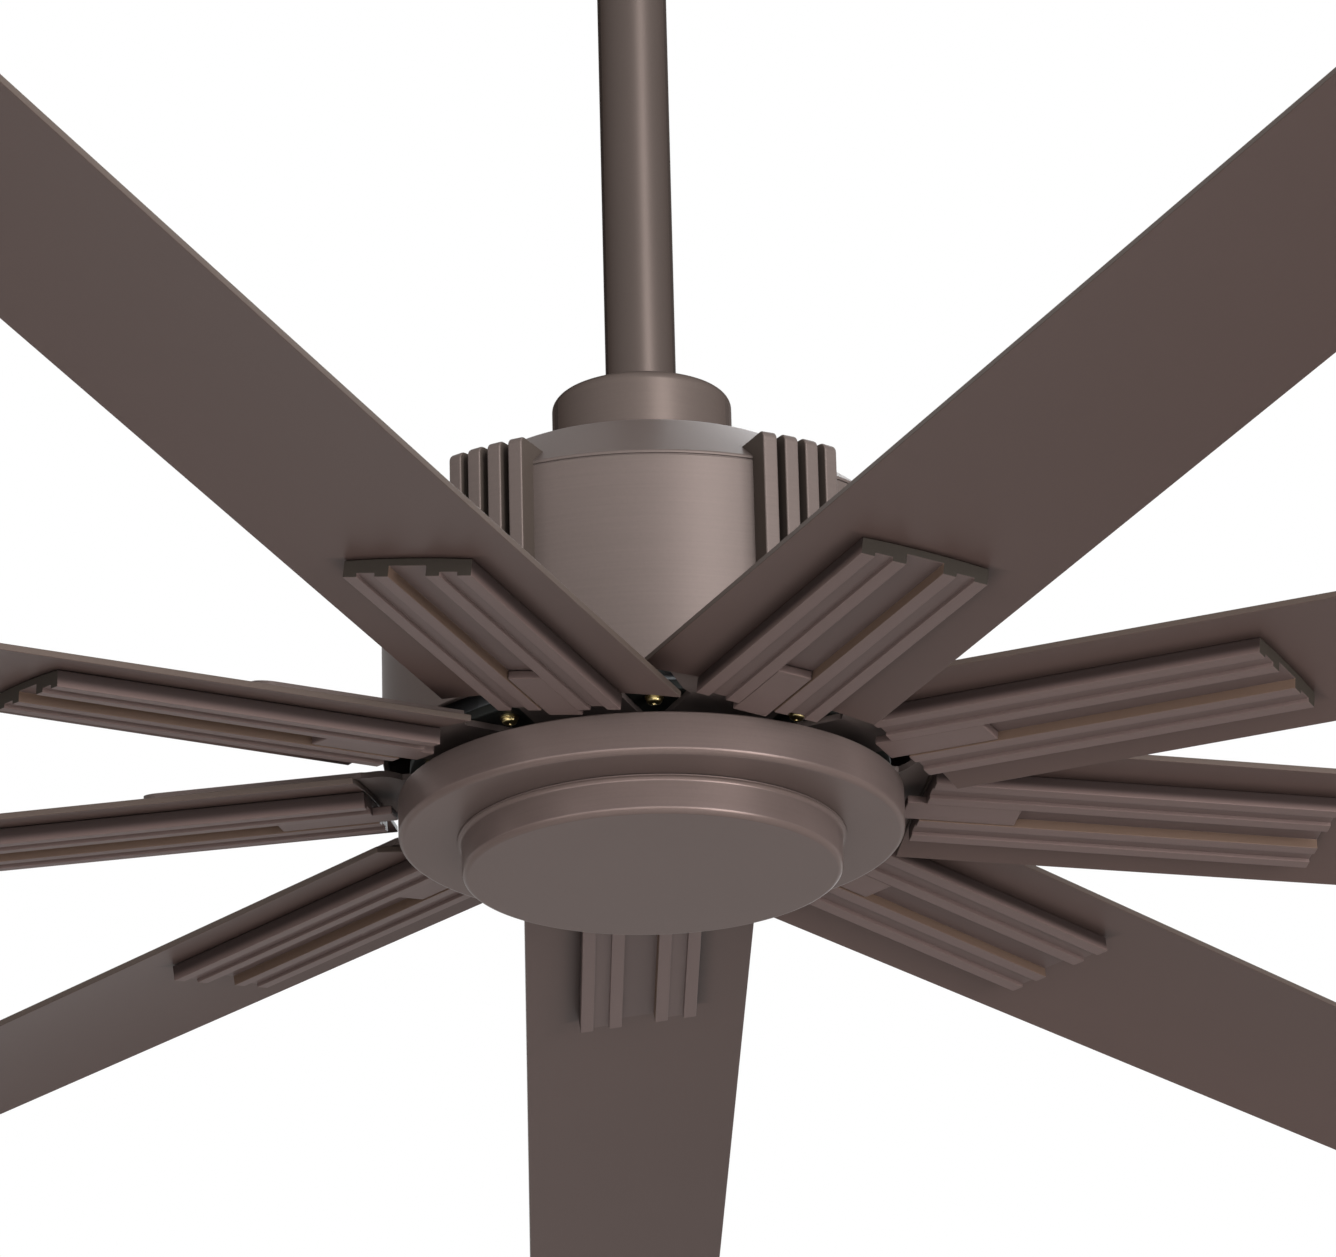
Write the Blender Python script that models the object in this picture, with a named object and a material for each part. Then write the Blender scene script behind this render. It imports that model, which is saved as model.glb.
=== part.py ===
"""Nine-blade ceiling fan on a downrod, built as separate pieces, in metres.

The origin is the middle of the ceiling bracket's top face, +Z is up and -Y is the front. A name that ends in _z is
a height under the ceiling. Blades, rails, irons and clamps are drawn once on the +X side and turned into place.
"""

import math

import bmesh
import bpy
from mathutils import Matrix, Vector

# Fits
GAP = 0.0003
BEARING_GAP = 0.0005
BALL_GAP = 0.0006
RUNNING_GAP = 0.0010
CUTTER_OVERRUN = 0.002

# Mesh fineness
LARGE_STEPS = 32
MEDIUM_STEPS = 20
SMALL_STEPS = 12
BOLT_STEPS = 6
ARC_STEPS = 3
SHARP_ANGLE = math.radians(32)

# Hanger ball, its pin and its seat
TILT_LIMIT = math.radians(15)
BALL_DROP = 0.058
BALL_RADIUS = 0.033
BALL_TOP_CUT = 0.020
BALL_FOOT_CUT = 0.026
BALL_PIN_RADIUS = 0.003
BALL_PIN_RECESS = 0.003
SEAT_THICKNESS = 0.0025
SEAT_TOP_DEPTH = 0.002
SEAT_FOOT_DEPTH = 0.017

# Ceiling bracket
PLATE_THICKNESS = 0.003
CRADLE_WALL = 0.0044
CRADLE_DEPTH = 0.021
ARM_WIDTH = 0.024
ARM_THICKNESS = 0.004
ARM_INSET_SHARE = 0.2
ARM_LAP_SHARE = 0.55
TAB_WIDTH = 0.016
TAB_THICKNESS = 0.003
TAB_DEPTH = 0.018
TAB_INSET = 0.002
SLOT_WIDTH = 0.006
SLOT_LENGTH = 0.018
SLOT_OFFSET = 0.041
WIRE_HOLE_RADIUS = 0.009
WIRE_HOLE_OFFSET = 0.019

# Canopy and its screws
CANOPY_RADIUS = 0.070
CANOPY_WALL = 0.0018
CANOPY_HEIGHT = 0.088
CANOPY_SHOULDER = 0.026
CANOPY_TO_PLATE = 0.002
SWING_CLEARANCE = 0.0025
CANOPY_SCREW_RADIUS = 0.0022
CANOPY_SCREW_HEAD_RADIUS = 0.0055
CANOPY_SCREW_HEAD_LENGTH = 0.005
CANOPY_SCREW_TAIL = 0.002
CANOPY_SCREW_DROP = 0.011

# Downrod
ROD_RADIUS = 0.0167
ROD_WALL = 0.0034
ROD_LENGTH = 0.457
ROD_ABOVE_BALL = 0.022

# Yoke, its pin and the cover over them
YOKE_WALL = 0.007
YOKE_FLANGE_RADIUS = 0.036
YOKE_FLANGE_THICKNESS = 0.004
YOKE_SHAFT_POCKET = 0.011
YOKE_FLOOR = 0.003
YOKE_SOCKET_DEPTH = 0.021
CLEVIS_PIN_RADIUS = 0.0035
CLEVIS_PIN_RISE = 0.010
CLEVIS_HEAD_RADIUS = 0.006
CLEVIS_HEAD_LENGTH = 0.003
CLEVIS_TAIL = 0.005
COVER_RADIUS = 0.0425
COVER_WALL = 0.0015
COVER_HEIGHT = 0.0402
COVER_FILLET = 0.005
COVER_ROD_CLEARANCE = 0.0009

# Housing, its fin blocks and vents
HOUSING_TOP_RADIUS = 0.080
SHOULDER_HEIGHT = 0.0345
DRUM_RADIUS = 0.1245
DRUM_HEIGHT = 0.1055
HOUSING_WALL = 0.003
FIN_BLOCK_TURN = math.radians(32.4)
FINS_PER_BLOCK = 4
FIN_PITCH = math.radians(4.65)
FIN_WIDTH = 0.0071
FIN_DEPTH = 0.0115
FIN_CORNER = 0.004
FIN_CORNER_STEPS = 2
FIN_RISE = 0.009
FIN_LAP_SHARE = 0.6
FIN_FOOT_RISE = 0.008
VENT_WIDTH = 0.0026
VENT_TOP_MARGIN = 0.010
VENT_FOOT_MARGIN = 0.024

# Motor shaft and what sits on it
SHAFT_RADIUS = 0.012
SHAFT_BORE_RADIUS = 0.008
SHAFT_CORE_RADIUS = 0.015
SHAFT_COLLAR_RADIUS = 0.019
SHAFT_COLLAR_HEIGHT = 0.005
SHAFT_TAIL = 0.0098
NUT_CORNER_RADIUS = 0.019
NUT_HEIGHT = 0.008
NUT_SIDES = 6
BEARING_RADIUS = 0.021
BEARING_HEIGHT = 0.012
BEARING_RECESS = 0.001
BEARING_RACE = 0.0022
SPACER_RADIUS = 0.0155
RECEIVER_INNER_RADIUS = 0.030
RECEIVER_OUTER_RADIUS = 0.068
RECEIVER_HEIGHT = 0.022

# Rotor, magnets, stator and flywheel
ROTOR_CLEARANCE = 0.0115
ROTOR_WALL = 0.012
ROTOR_HEIGHT = 0.078
ROTOR_LID = 0.005
BOSS_WALL = 0.0055
MAGNET_THICKNESS = 0.004
MAGNET_HEIGHT = 0.040
AIR_GAP = 0.0012
STATOR_HEIGHT = 0.030
STATOR_TEETH = 12
STATOR_CORE_SHARE = 0.45
TOOTH_TIP_SHARE = 0.80
TOOTH_ROOT_SHARE = 0.50
FLYWHEEL_UNDER_DRUM = 0.0014
FLYWHEEL_THICKNESS = 0.0048
FLYWHEEL_LIP = 0.002

# Bottom cap and bottom cover
CAP_UNDER_BLADE_PLANE = 0.0038
CAP_RADIUS = 0.1177
CAP_HEIGHT = 0.020
CAP_WALL = 0.0018
CAP_FILLET = 0.003
BOTTOM_COVER_RADIUS = 0.0885
BOTTOM_COVER_HEIGHT = 0.0177
BOTTOM_COVER_FILLET = 0.003
BOTTOM_COVER_FLARE = 0.0020
BOTTOM_COVER_BRIM = 0.0008

# Blades
BLADE_COUNT = 9
ROTOR_REST_TURN = math.radians(1.43)
BLADE_PITCH = math.radians(7.65)
BLADE_DROOP = math.radians(1.55)
BLADE_LEVEL_RADIUS = 0.264
BLADE_OFFSET = 0.0022
BLADE_ROOT_CLEARANCE = 0.0123
BLADE_LENGTH = 0.784
BLADE_ROOT_WIDTH = 0.1149
BLADE_TIP_WIDTH = 0.1046
BLADE_THICKNESS = 0.003
BLADE_EDGE_ROUND = 0.0013
BLADE_CAMBER = 0.003
CAMBER_CENTRE_SHARE = 0.6
CAMBER_KNEE_SHARE = 0.45
TIP_CORNER = 0.012

# Blade irons
IRON_THICKNESS = 0.003
IRON_FOOT_LENGTH = 0.038
IRON_FOOT_WIDTH = 0.048
IRON_WIDTH = 0.093
IRON_PAD_LEAD = 0.002
IRON_GRIP = 0.102
IRON_CORNER = 0.008
IRON_TWIST_STEPS = 3
IRON_CORNER_STEPS = 2
IRON_OVER_BLADE_PLANE = 0.0072

# Rails and clamp bars
RAIL_LENGTH = 0.194
RAIL_WIDTH = 0.021
RAIL_HEIGHT = 0.008
RAIL_NOTCH_WIDTH = 0.008
RAIL_NOTCH_DEPTH = 0.00175
WEB_WIDTH = 0.017
WEB_THICKNESS = 0.0035
CLAMP_THICKNESS = 0.004
CLAMP_LEAD = 0.009
CLAMP_REACH = 0.046
CLAMP_BOLT_SHARES = (0.2, 0.72)
BOLT_RADIUS = 0.0025
BOLT_NUT_RADIUS = 0.0045
BOLT_NUT_HEIGHT = 0.0032

# Base colour, roughness and metallic value of each material
MATERIALS = {
    "bronze_paint": ((0.085, 0.066, 0.060), 0.42, 0.55),
    "zinc_steel": ((0.42, 0.42, 0.43), 0.35, 1.00),
    "seat_nylon": ((0.05, 0.05, 0.05), 0.60, 0.00),
    "cast_aluminium": ((0.30, 0.30, 0.31), 0.50, 1.00),
    "copper_winding": ((0.48, 0.19, 0.08), 0.40, 0.90),
    "magnet": ((0.06, 0.06, 0.065), 0.50, 0.40),
    "bearing_steel": ((0.55, 0.56, 0.58), 0.22, 1.00),
    "receiver_plastic": ((0.03, 0.03, 0.03), 0.55, 0.00),
}

# Heights worked out from the sizes above, downwards from the ceiling
ball_z = -BALL_DROP
rod_top_z = ball_z + ROD_ABOVE_BALL
rod_foot_z = rod_top_z - ROD_LENGTH
yoke_floor_z = rod_foot_z - GAP
shaft_top_z = yoke_floor_z - YOKE_FLOOR - GAP
housing_top_z = shaft_top_z - YOKE_SHAFT_POCKET
yoke_foot_z = housing_top_z + GAP
yoke_top_z = rod_foot_z + YOKE_SOCKET_DEPTH
clevis_z = rod_foot_z + CLEVIS_PIN_RISE
housing_ceiling_z = housing_top_z - HOUSING_WALL
drum_top_z = housing_top_z - SHOULDER_HEIGHT
drum_foot_z = drum_top_z - DRUM_HEIGHT
flywheel_top_z = drum_foot_z - FLYWHEEL_UNDER_DRUM
flywheel_foot_z = flywheel_top_z - FLYWHEEL_THICKNESS
rotor_foot_z = flywheel_top_z + GAP
rotor_top_z = rotor_foot_z + ROTOR_HEIGHT
upper_bearing_z = rotor_top_z - ROTOR_LID - GAP - BEARING_HEIGHT
lower_bearing_z = flywheel_top_z + GAP
stator_z = (upper_bearing_z + lower_bearing_z + BEARING_HEIGHT - STATOR_HEIGHT) / 2
iron_foot_z = flywheel_foot_z - GAP - IRON_THICKNESS / 2
blade_plane_z = iron_foot_z - IRON_OVER_BLADE_PLANE
cap_top_z = blade_plane_z - CAP_UNDER_BLADE_PLANE
cap_foot_z = cap_top_z - CAP_HEIGHT
shaft_foot_z = cap_foot_z - SHAFT_TAIL

# Radii worked out from the sizes above
seat_inner_radius = BALL_RADIUS + BALL_GAP
seat_outer_radius = seat_inner_radius + SEAT_THICKNESS
cradle_inner_radius = seat_outer_radius + BALL_GAP
canopy_inner_radius = CANOPY_RADIUS - CANOPY_WALL
plate_radius = canopy_inner_radius - CANOPY_TO_PLATE
rod_bore_radius = ROD_RADIUS - ROD_WALL
yoke_radius = ROD_RADIUS + GAP + YOKE_WALL
drum_inner_radius = DRUM_RADIUS - HOUSING_WALL
rotor_radius = drum_inner_radius - ROTOR_CLEARANCE
rotor_inner_radius = rotor_radius - ROTOR_WALL
magnet_outer_radius = rotor_inner_radius - GAP
magnet_inner_radius = magnet_outer_radius - MAGNET_THICKNESS
stator_radius = magnet_inner_radius - AIR_GAP
bearing_seat_radius = BEARING_RADIUS + BEARING_GAP
rotor_eye_radius = SPACER_RADIUS + RUNNING_GAP
flywheel_radius = rotor_radius + FLYWHEEL_LIP

# Distances along a blade, from the fan's axis
blade_root = CAP_RADIUS + BLADE_ROOT_CLEARANCE
blade_tip = blade_root + BLADE_LENGTH
clamp_root = blade_root - CLAMP_LEAD
clamp_end = blade_root + CLAMP_REACH

# A blade's own frame: X out along the blade, Y across it, towards the lower edge, and Z through its thickness
BLADE_FRAME = (
    Matrix.Translation((BLADE_LEVEL_RADIUS, BLADE_OFFSET, blade_plane_z))
    @ Matrix.Rotation(BLADE_DROOP, 4, "Y")
    @ Matrix.Rotation(-BLADE_PITCH, 4, "X")
)


def clear_scene():
    """Remove whatever the scene holds."""
    for obj in list(bpy.data.objects):
        bpy.data.objects.remove(obj, do_unlink=True)


def material(name):
    """The named material, made on first use."""
    found = bpy.data.materials.get(name)
    if found:
        return found
    colour, roughness, metallic = MATERIALS[name]
    made = bpy.data.materials.new(name)
    made.use_nodes = True
    shader = made.node_tree.nodes["Principled BSDF"]
    shader.inputs["Base Color"].default_value = (*colour, 1.0)
    shader.inputs["Roughness"].default_value = roughness
    shader.inputs["Metallic"].default_value = metallic
    return made


def pivot(name, height, parent=None):
    """An empty on the fan's axis, which carries the pieces that move together."""
    empty = bpy.data.objects.new(name, None)
    empty.empty_display_size = BALL_RADIUS
    bpy.context.scene.collection.objects.link(empty)
    empty.location = (0, 0, height)
    if parent:
        bpy.context.view_layer.update()
        empty.parent = parent
        empty.matrix_parent_inverse = parent.matrix_world.inverted()
    bpy.context.view_layer.update()
    return empty


def carry(obj, parent):
    """Parent a piece without moving it."""
    obj.parent = parent
    obj.matrix_parent_inverse = parent.matrix_world.inverted()
    return obj


def solid(name, bm, finish):
    """Turn a bmesh into an object with smooth shading that breaks at its edges."""
    bmesh.ops.recalc_face_normals(bm, faces=bm.faces)
    mesh = bpy.data.meshes.new(name)
    bm.to_mesh(mesh)
    bm.free()
    mesh.shade_smooth()
    mesh.set_sharp_from_angle(angle=SHARP_ANGLE)
    mesh.materials.append(material(finish))
    obj = bpy.data.objects.new(name, mesh)
    bpy.context.scene.collection.objects.link(obj)
    return obj


def turned(name, profile, steps, finish):
    """Spin a profile of (radius, height) points round the Z axis.

    A profile that starts and ends on the axis stays open there; any other profile is closed.
    """
    bm = bmesh.new()
    points = [bm.verts.new((radius, 0, height)) for radius, height in profile]
    for start, end in zip(points, points[1:]):
        bm.edges.new((start, end))
    if profile[0][0] > 0:
        bm.edges.new((points[-1], points[0]))
    line = bm.verts[:] + bm.edges[:]
    bmesh.ops.spin(bm, geom=line, cent=(0, 0, 0), axis=(0, 0, 1), angle=math.tau, steps=steps, use_merge=True)
    bmesh.ops.remove_doubles(bm, verts=bm.verts, dist=GAP / steps)
    return solid(name, bm, finish)


def lofted(name, rings, finish):
    """Skin equal rings of points one after the other, and cap both ends."""
    bm = bmesh.new()
    add_loft(bm, rings)
    return solid(name, bm, finish)


def add_loft(bm, rings):
    """Add one closed loft to a bmesh."""
    rows = [[bm.verts.new(point) for point in ring] for ring in rings]
    count = len(rows[0])
    for near, far in zip(rows, rows[1:]):
        for index in range(count):
            after = (index + 1) % count
            bm.faces.new((near[index], near[after], far[after], far[index]))
    bm.faces.new(rows[0])
    bm.faces.new(rows[-1])


def add_box(bm, low, high, turn=0.0):
    """Add a box between two corners, turned about the Z axis afterwards."""
    middle = (Vector(low) + Vector(high)) / 2
    size = Vector(high) - Vector(low)
    place = Matrix.Rotation(turn, 4, "Z") @ Matrix.Translation(middle) @ Matrix.Diagonal((*size, 1))
    bmesh.ops.create_cube(bm, size=1, matrix=place)


def add_cylinder(bm, start, end, radius, steps):
    """Add a capped cylinder from one point to another."""
    start = Vector(start)
    along = Vector(end) - start
    place = Matrix.Translation(start + along / 2) @ along.to_track_quat("Z", "Y").to_matrix().to_4x4()
    bmesh.ops.create_cone(
        bm, cap_ends=True, segments=steps, radius1=radius, radius2=radius, depth=along.length, matrix=place
    )


def combine(target, tool, operation):
    """Join a helper to a piece, or cut the piece with it, and keep the helper out of the render."""
    change = target.modifiers.new(tool.name, "BOOLEAN")
    change.operation = operation
    change.solver = "EXACT"
    change.object = tool
    tool.hide_render = True
    tool.display_type = "WIRE"


def cylinder_cutter(target, name, start, end, radius, steps=SMALL_STEPS):
    """Cut a round hole through a piece."""
    bm = bmesh.new()
    add_cylinder(bm, start, end, radius, steps)
    combine(target, solid(name, bm, "zinc_steel"), "DIFFERENCE")


def finished_mesh(obj):
    """The piece's mesh with its modifiers applied, for its copies to share."""
    bpy.context.view_layer.update()
    graph = bpy.context.evaluated_depsgraph_get()
    mesh = bpy.data.meshes.new_from_object(obj.evaluated_get(graph))
    mesh.name = obj.name
    return mesh


def arc(centre_radius, centre_height, radius, start, end, steps=ARC_STEPS):
    """Points (radius, height) on an arc, angles counted from the outward horizontal."""
    angles = [start + (end - start) * step / steps for step in range(steps + 1)]
    return [
        (centre_radius + radius * math.cos(angle), centre_height + radius * math.sin(angle)) for angle in angles
    ]


def sphere_line(radius, upper_depth, lower_depth, steps):
    """Points on a ball of this radius about the ball joint, between two depths under its middle."""
    start = -math.asin(upper_depth / radius)
    end = -math.asin(lower_depth / radius)
    return arc(0, ball_z, radius, start, end, steps)


def swept_rod_radius(depth):
    """Radius that the rod needs at a depth under the ball joint when both tilts are at their limit."""
    lean = math.acos(math.cos(TILT_LIMIT) ** 2)
    return depth * math.tan(lean) + ROD_RADIUS / math.cos(lean)


# Hanging pieces


def ceiling_bracket():
    """Top plate, two arms, a cradle for the ball and two tabs for the canopy's screws."""
    bm = bmesh.new()
    add_cylinder(bm, (0, 0, -PLATE_THICKNESS), (0, 0, 0), plate_radius, LARGE_STEPS)
    bracket = solid("ceiling_bracket", bm, "zinc_steel")

    inner = sphere_line(cradle_inner_radius, 0, CRADLE_DEPTH, ARC_STEPS + 2)
    cradle_outer = cradle_inner_radius + CRADLE_WALL
    profile = [(cradle_outer, ball_z), (cradle_outer, ball_z - CRADLE_DEPTH)] + inner[::-1]
    combine(bracket, turned("bracket_cradle", profile, LARGE_STEPS, "zinc_steel"), "UNION")

    bm = bmesh.new()
    arm_inner = cradle_inner_radius + CRADLE_WALL * ARM_INSET_SHARE
    arm_outer = arm_inner + ARM_THICKNESS
    arm_foot = ball_z - CRADLE_DEPTH * ARM_LAP_SHARE
    tab_outer = plate_radius - TAB_INSET
    tab_inner = tab_outer - TAB_THICKNESS
    for turn in (0, math.pi):
        low = (arm_inner, -ARM_WIDTH / 2, arm_foot)
        add_box(bm, low, (arm_outer, ARM_WIDTH / 2, -PLATE_THICKNESS / 2), turn)
        low = (tab_inner, -TAB_WIDTH / 2, -PLATE_THICKNESS - TAB_DEPTH)
        add_box(bm, low, (tab_outer, TAB_WIDTH / 2, -PLATE_THICKNESS / 2), turn + math.pi / 2)
    combine(bracket, solid("bracket_arms", bm, "zinc_steel"), "UNION")

    bm = bmesh.new()
    for side in (-1, 1):
        middle = side * SLOT_OFFSET
        low = (-SLOT_WIDTH / 2, middle - SLOT_LENGTH / 2, -PLATE_THICKNESS - CUTTER_OVERRUN)
        add_box(bm, low, (SLOT_WIDTH / 2, middle + SLOT_LENGTH / 2, CUTTER_OVERRUN))
        shank = (0, side * (tab_inner - CUTTER_OVERRUN), -CANOPY_SCREW_DROP)
        hole = (0, side * (tab_outer + CUTTER_OVERRUN), -CANOPY_SCREW_DROP)
        add_cylinder(bm, shank, hole, CANOPY_SCREW_RADIUS + GAP, SMALL_STEPS)
    low = (0, WIRE_HOLE_OFFSET, -PLATE_THICKNESS - CUTTER_OVERRUN)
    add_cylinder(bm, low, (0, WIRE_HOLE_OFFSET, CUTTER_OVERRUN), WIRE_HOLE_RADIUS, SMALL_STEPS)
    combine(bracket, solid("bracket_holes", bm, "zinc_steel"), "DIFFERENCE")

    bm = bmesh.new()
    half_gap = ROD_RADIUS + RUNNING_GAP
    low = (-half_gap, 0, ball_z - CRADLE_DEPTH - CUTTER_OVERRUN)
    add_box(bm, low, (half_gap, cradle_outer + CUTTER_OVERRUN, ball_z + CUTTER_OVERRUN))
    combine(bracket, solid("bracket_mouth", bm, "zinc_steel"), "DIFFERENCE")
    return bracket


def canopy():
    """Spun cup that hides the bracket, with room below for the rod to lean."""
    foot = -GAP - CANOPY_HEIGHT
    mouth = swept_rod_radius(ball_z - foot) + SWING_CLEARANCE
    centre_radius = CANOPY_RADIUS - CANOPY_SHOULDER
    centre_height = foot + CANOPY_SHOULDER
    outer = arc(centre_radius, centre_height, CANOPY_SHOULDER, 0, -math.pi / 2)
    inner = arc(centre_radius, centre_height, CANOPY_SHOULDER - CANOPY_WALL, -math.pi / 2, 0)
    profile = [(CANOPY_RADIUS, -GAP)] + outer + [(mouth, foot), (mouth, foot + CANOPY_WALL)] + inner
    profile.append((canopy_inner_radius, -GAP))
    cup = turned("canopy", profile, LARGE_STEPS, "bronze_paint")
    for side in (-1, 1):
        start = (0, side * (canopy_inner_radius - CUTTER_OVERRUN), -CANOPY_SCREW_DROP)
        end = (0, side * (CANOPY_RADIUS + CUTTER_OVERRUN), -CANOPY_SCREW_DROP)
        cylinder_cutter(cup, "canopy_hole", start, end, CANOPY_SCREW_RADIUS + GAP)
    return cup


def canopy_screw(name, side):
    """Thumb screw through the canopy into the bracket's tab."""
    tail = plate_radius - TAB_INSET - TAB_THICKNESS - CANOPY_SCREW_TAIL
    under_head = CANOPY_RADIUS + GAP
    head_end = under_head + CANOPY_SCREW_HEAD_LENGTH
    bm = bmesh.new()
    start = (0, side * tail, -CANOPY_SCREW_DROP)
    end = (0, side * (under_head + CANOPY_SCREW_HEAD_LENGTH / 2), -CANOPY_SCREW_DROP)
    add_cylinder(bm, start, end, CANOPY_SCREW_RADIUS, SMALL_STEPS)
    screw = solid(name, bm, "bronze_paint")
    bm = bmesh.new()
    start = (0, side * under_head, -CANOPY_SCREW_DROP)
    end = (0, side * head_end, -CANOPY_SCREW_DROP)
    add_cylinder(bm, start, end, CANOPY_SCREW_HEAD_RADIUS, SMALL_STEPS)
    combine(screw, solid(name + "_head", bm, "bronze_paint"), "UNION")
    return screw


def ball_seat():
    """Nylon liner between the cradle and the ball."""
    outer = sphere_line(seat_outer_radius, SEAT_TOP_DEPTH, SEAT_FOOT_DEPTH, ARC_STEPS)
    inner = sphere_line(seat_inner_radius, SEAT_TOP_DEPTH, SEAT_FOOT_DEPTH, ARC_STEPS)
    return turned("ball_seat", outer + inner[::-1], LARGE_STEPS, "seat_nylon")


def hanger_ball():
    """Ball on the rod's head, cut flat above and below, with a hole for its pin."""
    bore = ROD_RADIUS + GAP
    side = sphere_line(BALL_RADIUS, -BALL_TOP_CUT, BALL_FOOT_CUT, ARC_STEPS * 2)
    profile = side + [(bore, ball_z - BALL_FOOT_CUT), (bore, ball_z + BALL_TOP_CUT)]
    ball = turned("hanger_ball", profile, MEDIUM_STEPS, "zinc_steel")
    reach = BALL_RADIUS + CUTTER_OVERRUN
    cylinder_cutter(ball, "ball_hole", (-reach, 0, ball_z), (reach, 0, ball_z), BALL_PIN_RADIUS + GAP)
    return ball


def ball_pin():
    """Pin across the ball and the rod."""
    reach = BALL_RADIUS - BALL_PIN_RECESS
    bm = bmesh.new()
    add_cylinder(bm, (-reach, 0, ball_z), (reach, 0, ball_z), BALL_PIN_RADIUS, SMALL_STEPS)
    return solid("ball_pin", bm, "bearing_steel")


def downrod():
    """Tube between the ball and the yoke, with a hole for each pin."""
    profile = [
        (ROD_RADIUS, rod_top_z),
        (ROD_RADIUS, rod_foot_z),
        (rod_bore_radius, rod_foot_z),
        (rod_bore_radius, rod_top_z),
    ]
    rod = turned("downrod", profile, MEDIUM_STEPS, "bronze_paint")
    reach = ROD_RADIUS + CUTTER_OVERRUN
    cylinder_cutter(rod, "rod_ball_hole", (-reach, 0, ball_z), (reach, 0, ball_z), BALL_PIN_RADIUS + GAP)
    cylinder_cutter(rod, "rod_foot_hole", (-reach, 0, clevis_z), (reach, 0, clevis_z), CLEVIS_PIN_RADIUS + GAP)
    return rod


def yoke():
    """Socket that the rod's foot is pinned into, screwed on the shaft over the housing."""
    pocket = SHAFT_RADIUS + GAP
    socket = ROD_RADIUS + GAP
    profile = [
        (yoke_radius, yoke_top_z),
        (yoke_radius, yoke_foot_z + YOKE_FLANGE_THICKNESS),
        (YOKE_FLANGE_RADIUS, yoke_foot_z + YOKE_FLANGE_THICKNESS),
        (YOKE_FLANGE_RADIUS, yoke_foot_z),
        (pocket, yoke_foot_z),
        (pocket, yoke_floor_z - YOKE_FLOOR),
        (SHAFT_BORE_RADIUS, yoke_floor_z - YOKE_FLOOR),
        (SHAFT_BORE_RADIUS, yoke_floor_z),
        (socket, yoke_floor_z),
        (socket, yoke_top_z),
    ]
    collar = turned("yoke", profile, MEDIUM_STEPS, "cast_aluminium")
    reach = yoke_radius + CUTTER_OVERRUN
    cylinder_cutter(collar, "yoke_hole", (-reach, 0, clevis_z), (reach, 0, clevis_z), CLEVIS_PIN_RADIUS + GAP)
    return collar


def clevis_pin():
    """Headed pin through the yoke and the rod's foot."""
    under_head = yoke_radius + GAP
    bm = bmesh.new()
    start = (-yoke_radius - CLEVIS_TAIL, 0, clevis_z)
    end = (under_head + CLEVIS_HEAD_LENGTH / 2, 0, clevis_z)
    add_cylinder(bm, start, end, CLEVIS_PIN_RADIUS, SMALL_STEPS)
    pin = solid("clevis_pin", bm, "bearing_steel")
    bm = bmesh.new()
    end = (under_head + CLEVIS_HEAD_LENGTH, 0, clevis_z)
    add_cylinder(bm, (under_head, 0, clevis_z), end, CLEVIS_HEAD_RADIUS, SMALL_STEPS)
    combine(pin, solid("clevis_head", bm, "bearing_steel"), "UNION")
    return pin


def coupling_cover():
    """Cup over the yoke, loose on the rod, resting on the housing."""
    foot = housing_top_z + GAP
    top = foot + COVER_HEIGHT
    eye = ROD_RADIUS + COVER_ROD_CLEARANCE
    inner_radius = COVER_RADIUS - COVER_WALL
    centre_radius = COVER_RADIUS - COVER_FILLET
    outer = arc(centre_radius, top - COVER_FILLET, COVER_FILLET, math.pi / 2, 0)
    inner = arc(centre_radius, top - COVER_FILLET, COVER_FILLET - COVER_WALL, 0, math.pi / 2)
    profile = [(eye, top)] + outer + [(COVER_RADIUS, foot), (inner_radius, foot)] + inner + [(eye, top - COVER_WALL)]
    return turned("coupling_cover", profile, LARGE_STEPS, "bronze_paint")


# Housing


def fin_outline():
    """Side view of a fin, as (radius, height) points; its inner line runs inside the housing's wall."""
    lap = HOUSING_WALL * FIN_LAP_SHARE
    outer = DRUM_RADIUS + FIN_DEPTH
    top = drum_top_z + FIN_RISE
    foot = drum_foot_z + FIN_FOOT_RISE
    slope = SHOULDER_HEIGHT / (DRUM_RADIUS - HOUSING_TOP_RADIUS)
    inner_top = DRUM_RADIUS - FIN_RISE / slope - lap
    inner_knee = DRUM_RADIUS - lap
    corner = arc(outer - FIN_CORNER, top - FIN_CORNER, FIN_CORNER, 0, math.pi / 2, FIN_CORNER_STEPS)
    return [(inner_knee, foot), (outer, foot)] + corner + [(inner_top, top), (inner_knee, drum_top_z - HOUSING_WALL)]


def block_turns():
    """Angles of the four fin blocks: two each side of the front, two each side of the back."""
    return [side * math.pi / 2 + lean * FIN_BLOCK_TURN for side in (-1, 1) for lean in (-1, 1)]


def around(radius, height, offset, turn):
    """A point at this radius and height, moved sideways, then turned about the Z axis."""
    return Matrix.Rotation(turn, 3, "Z") @ Vector((radius, offset, height))


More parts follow.
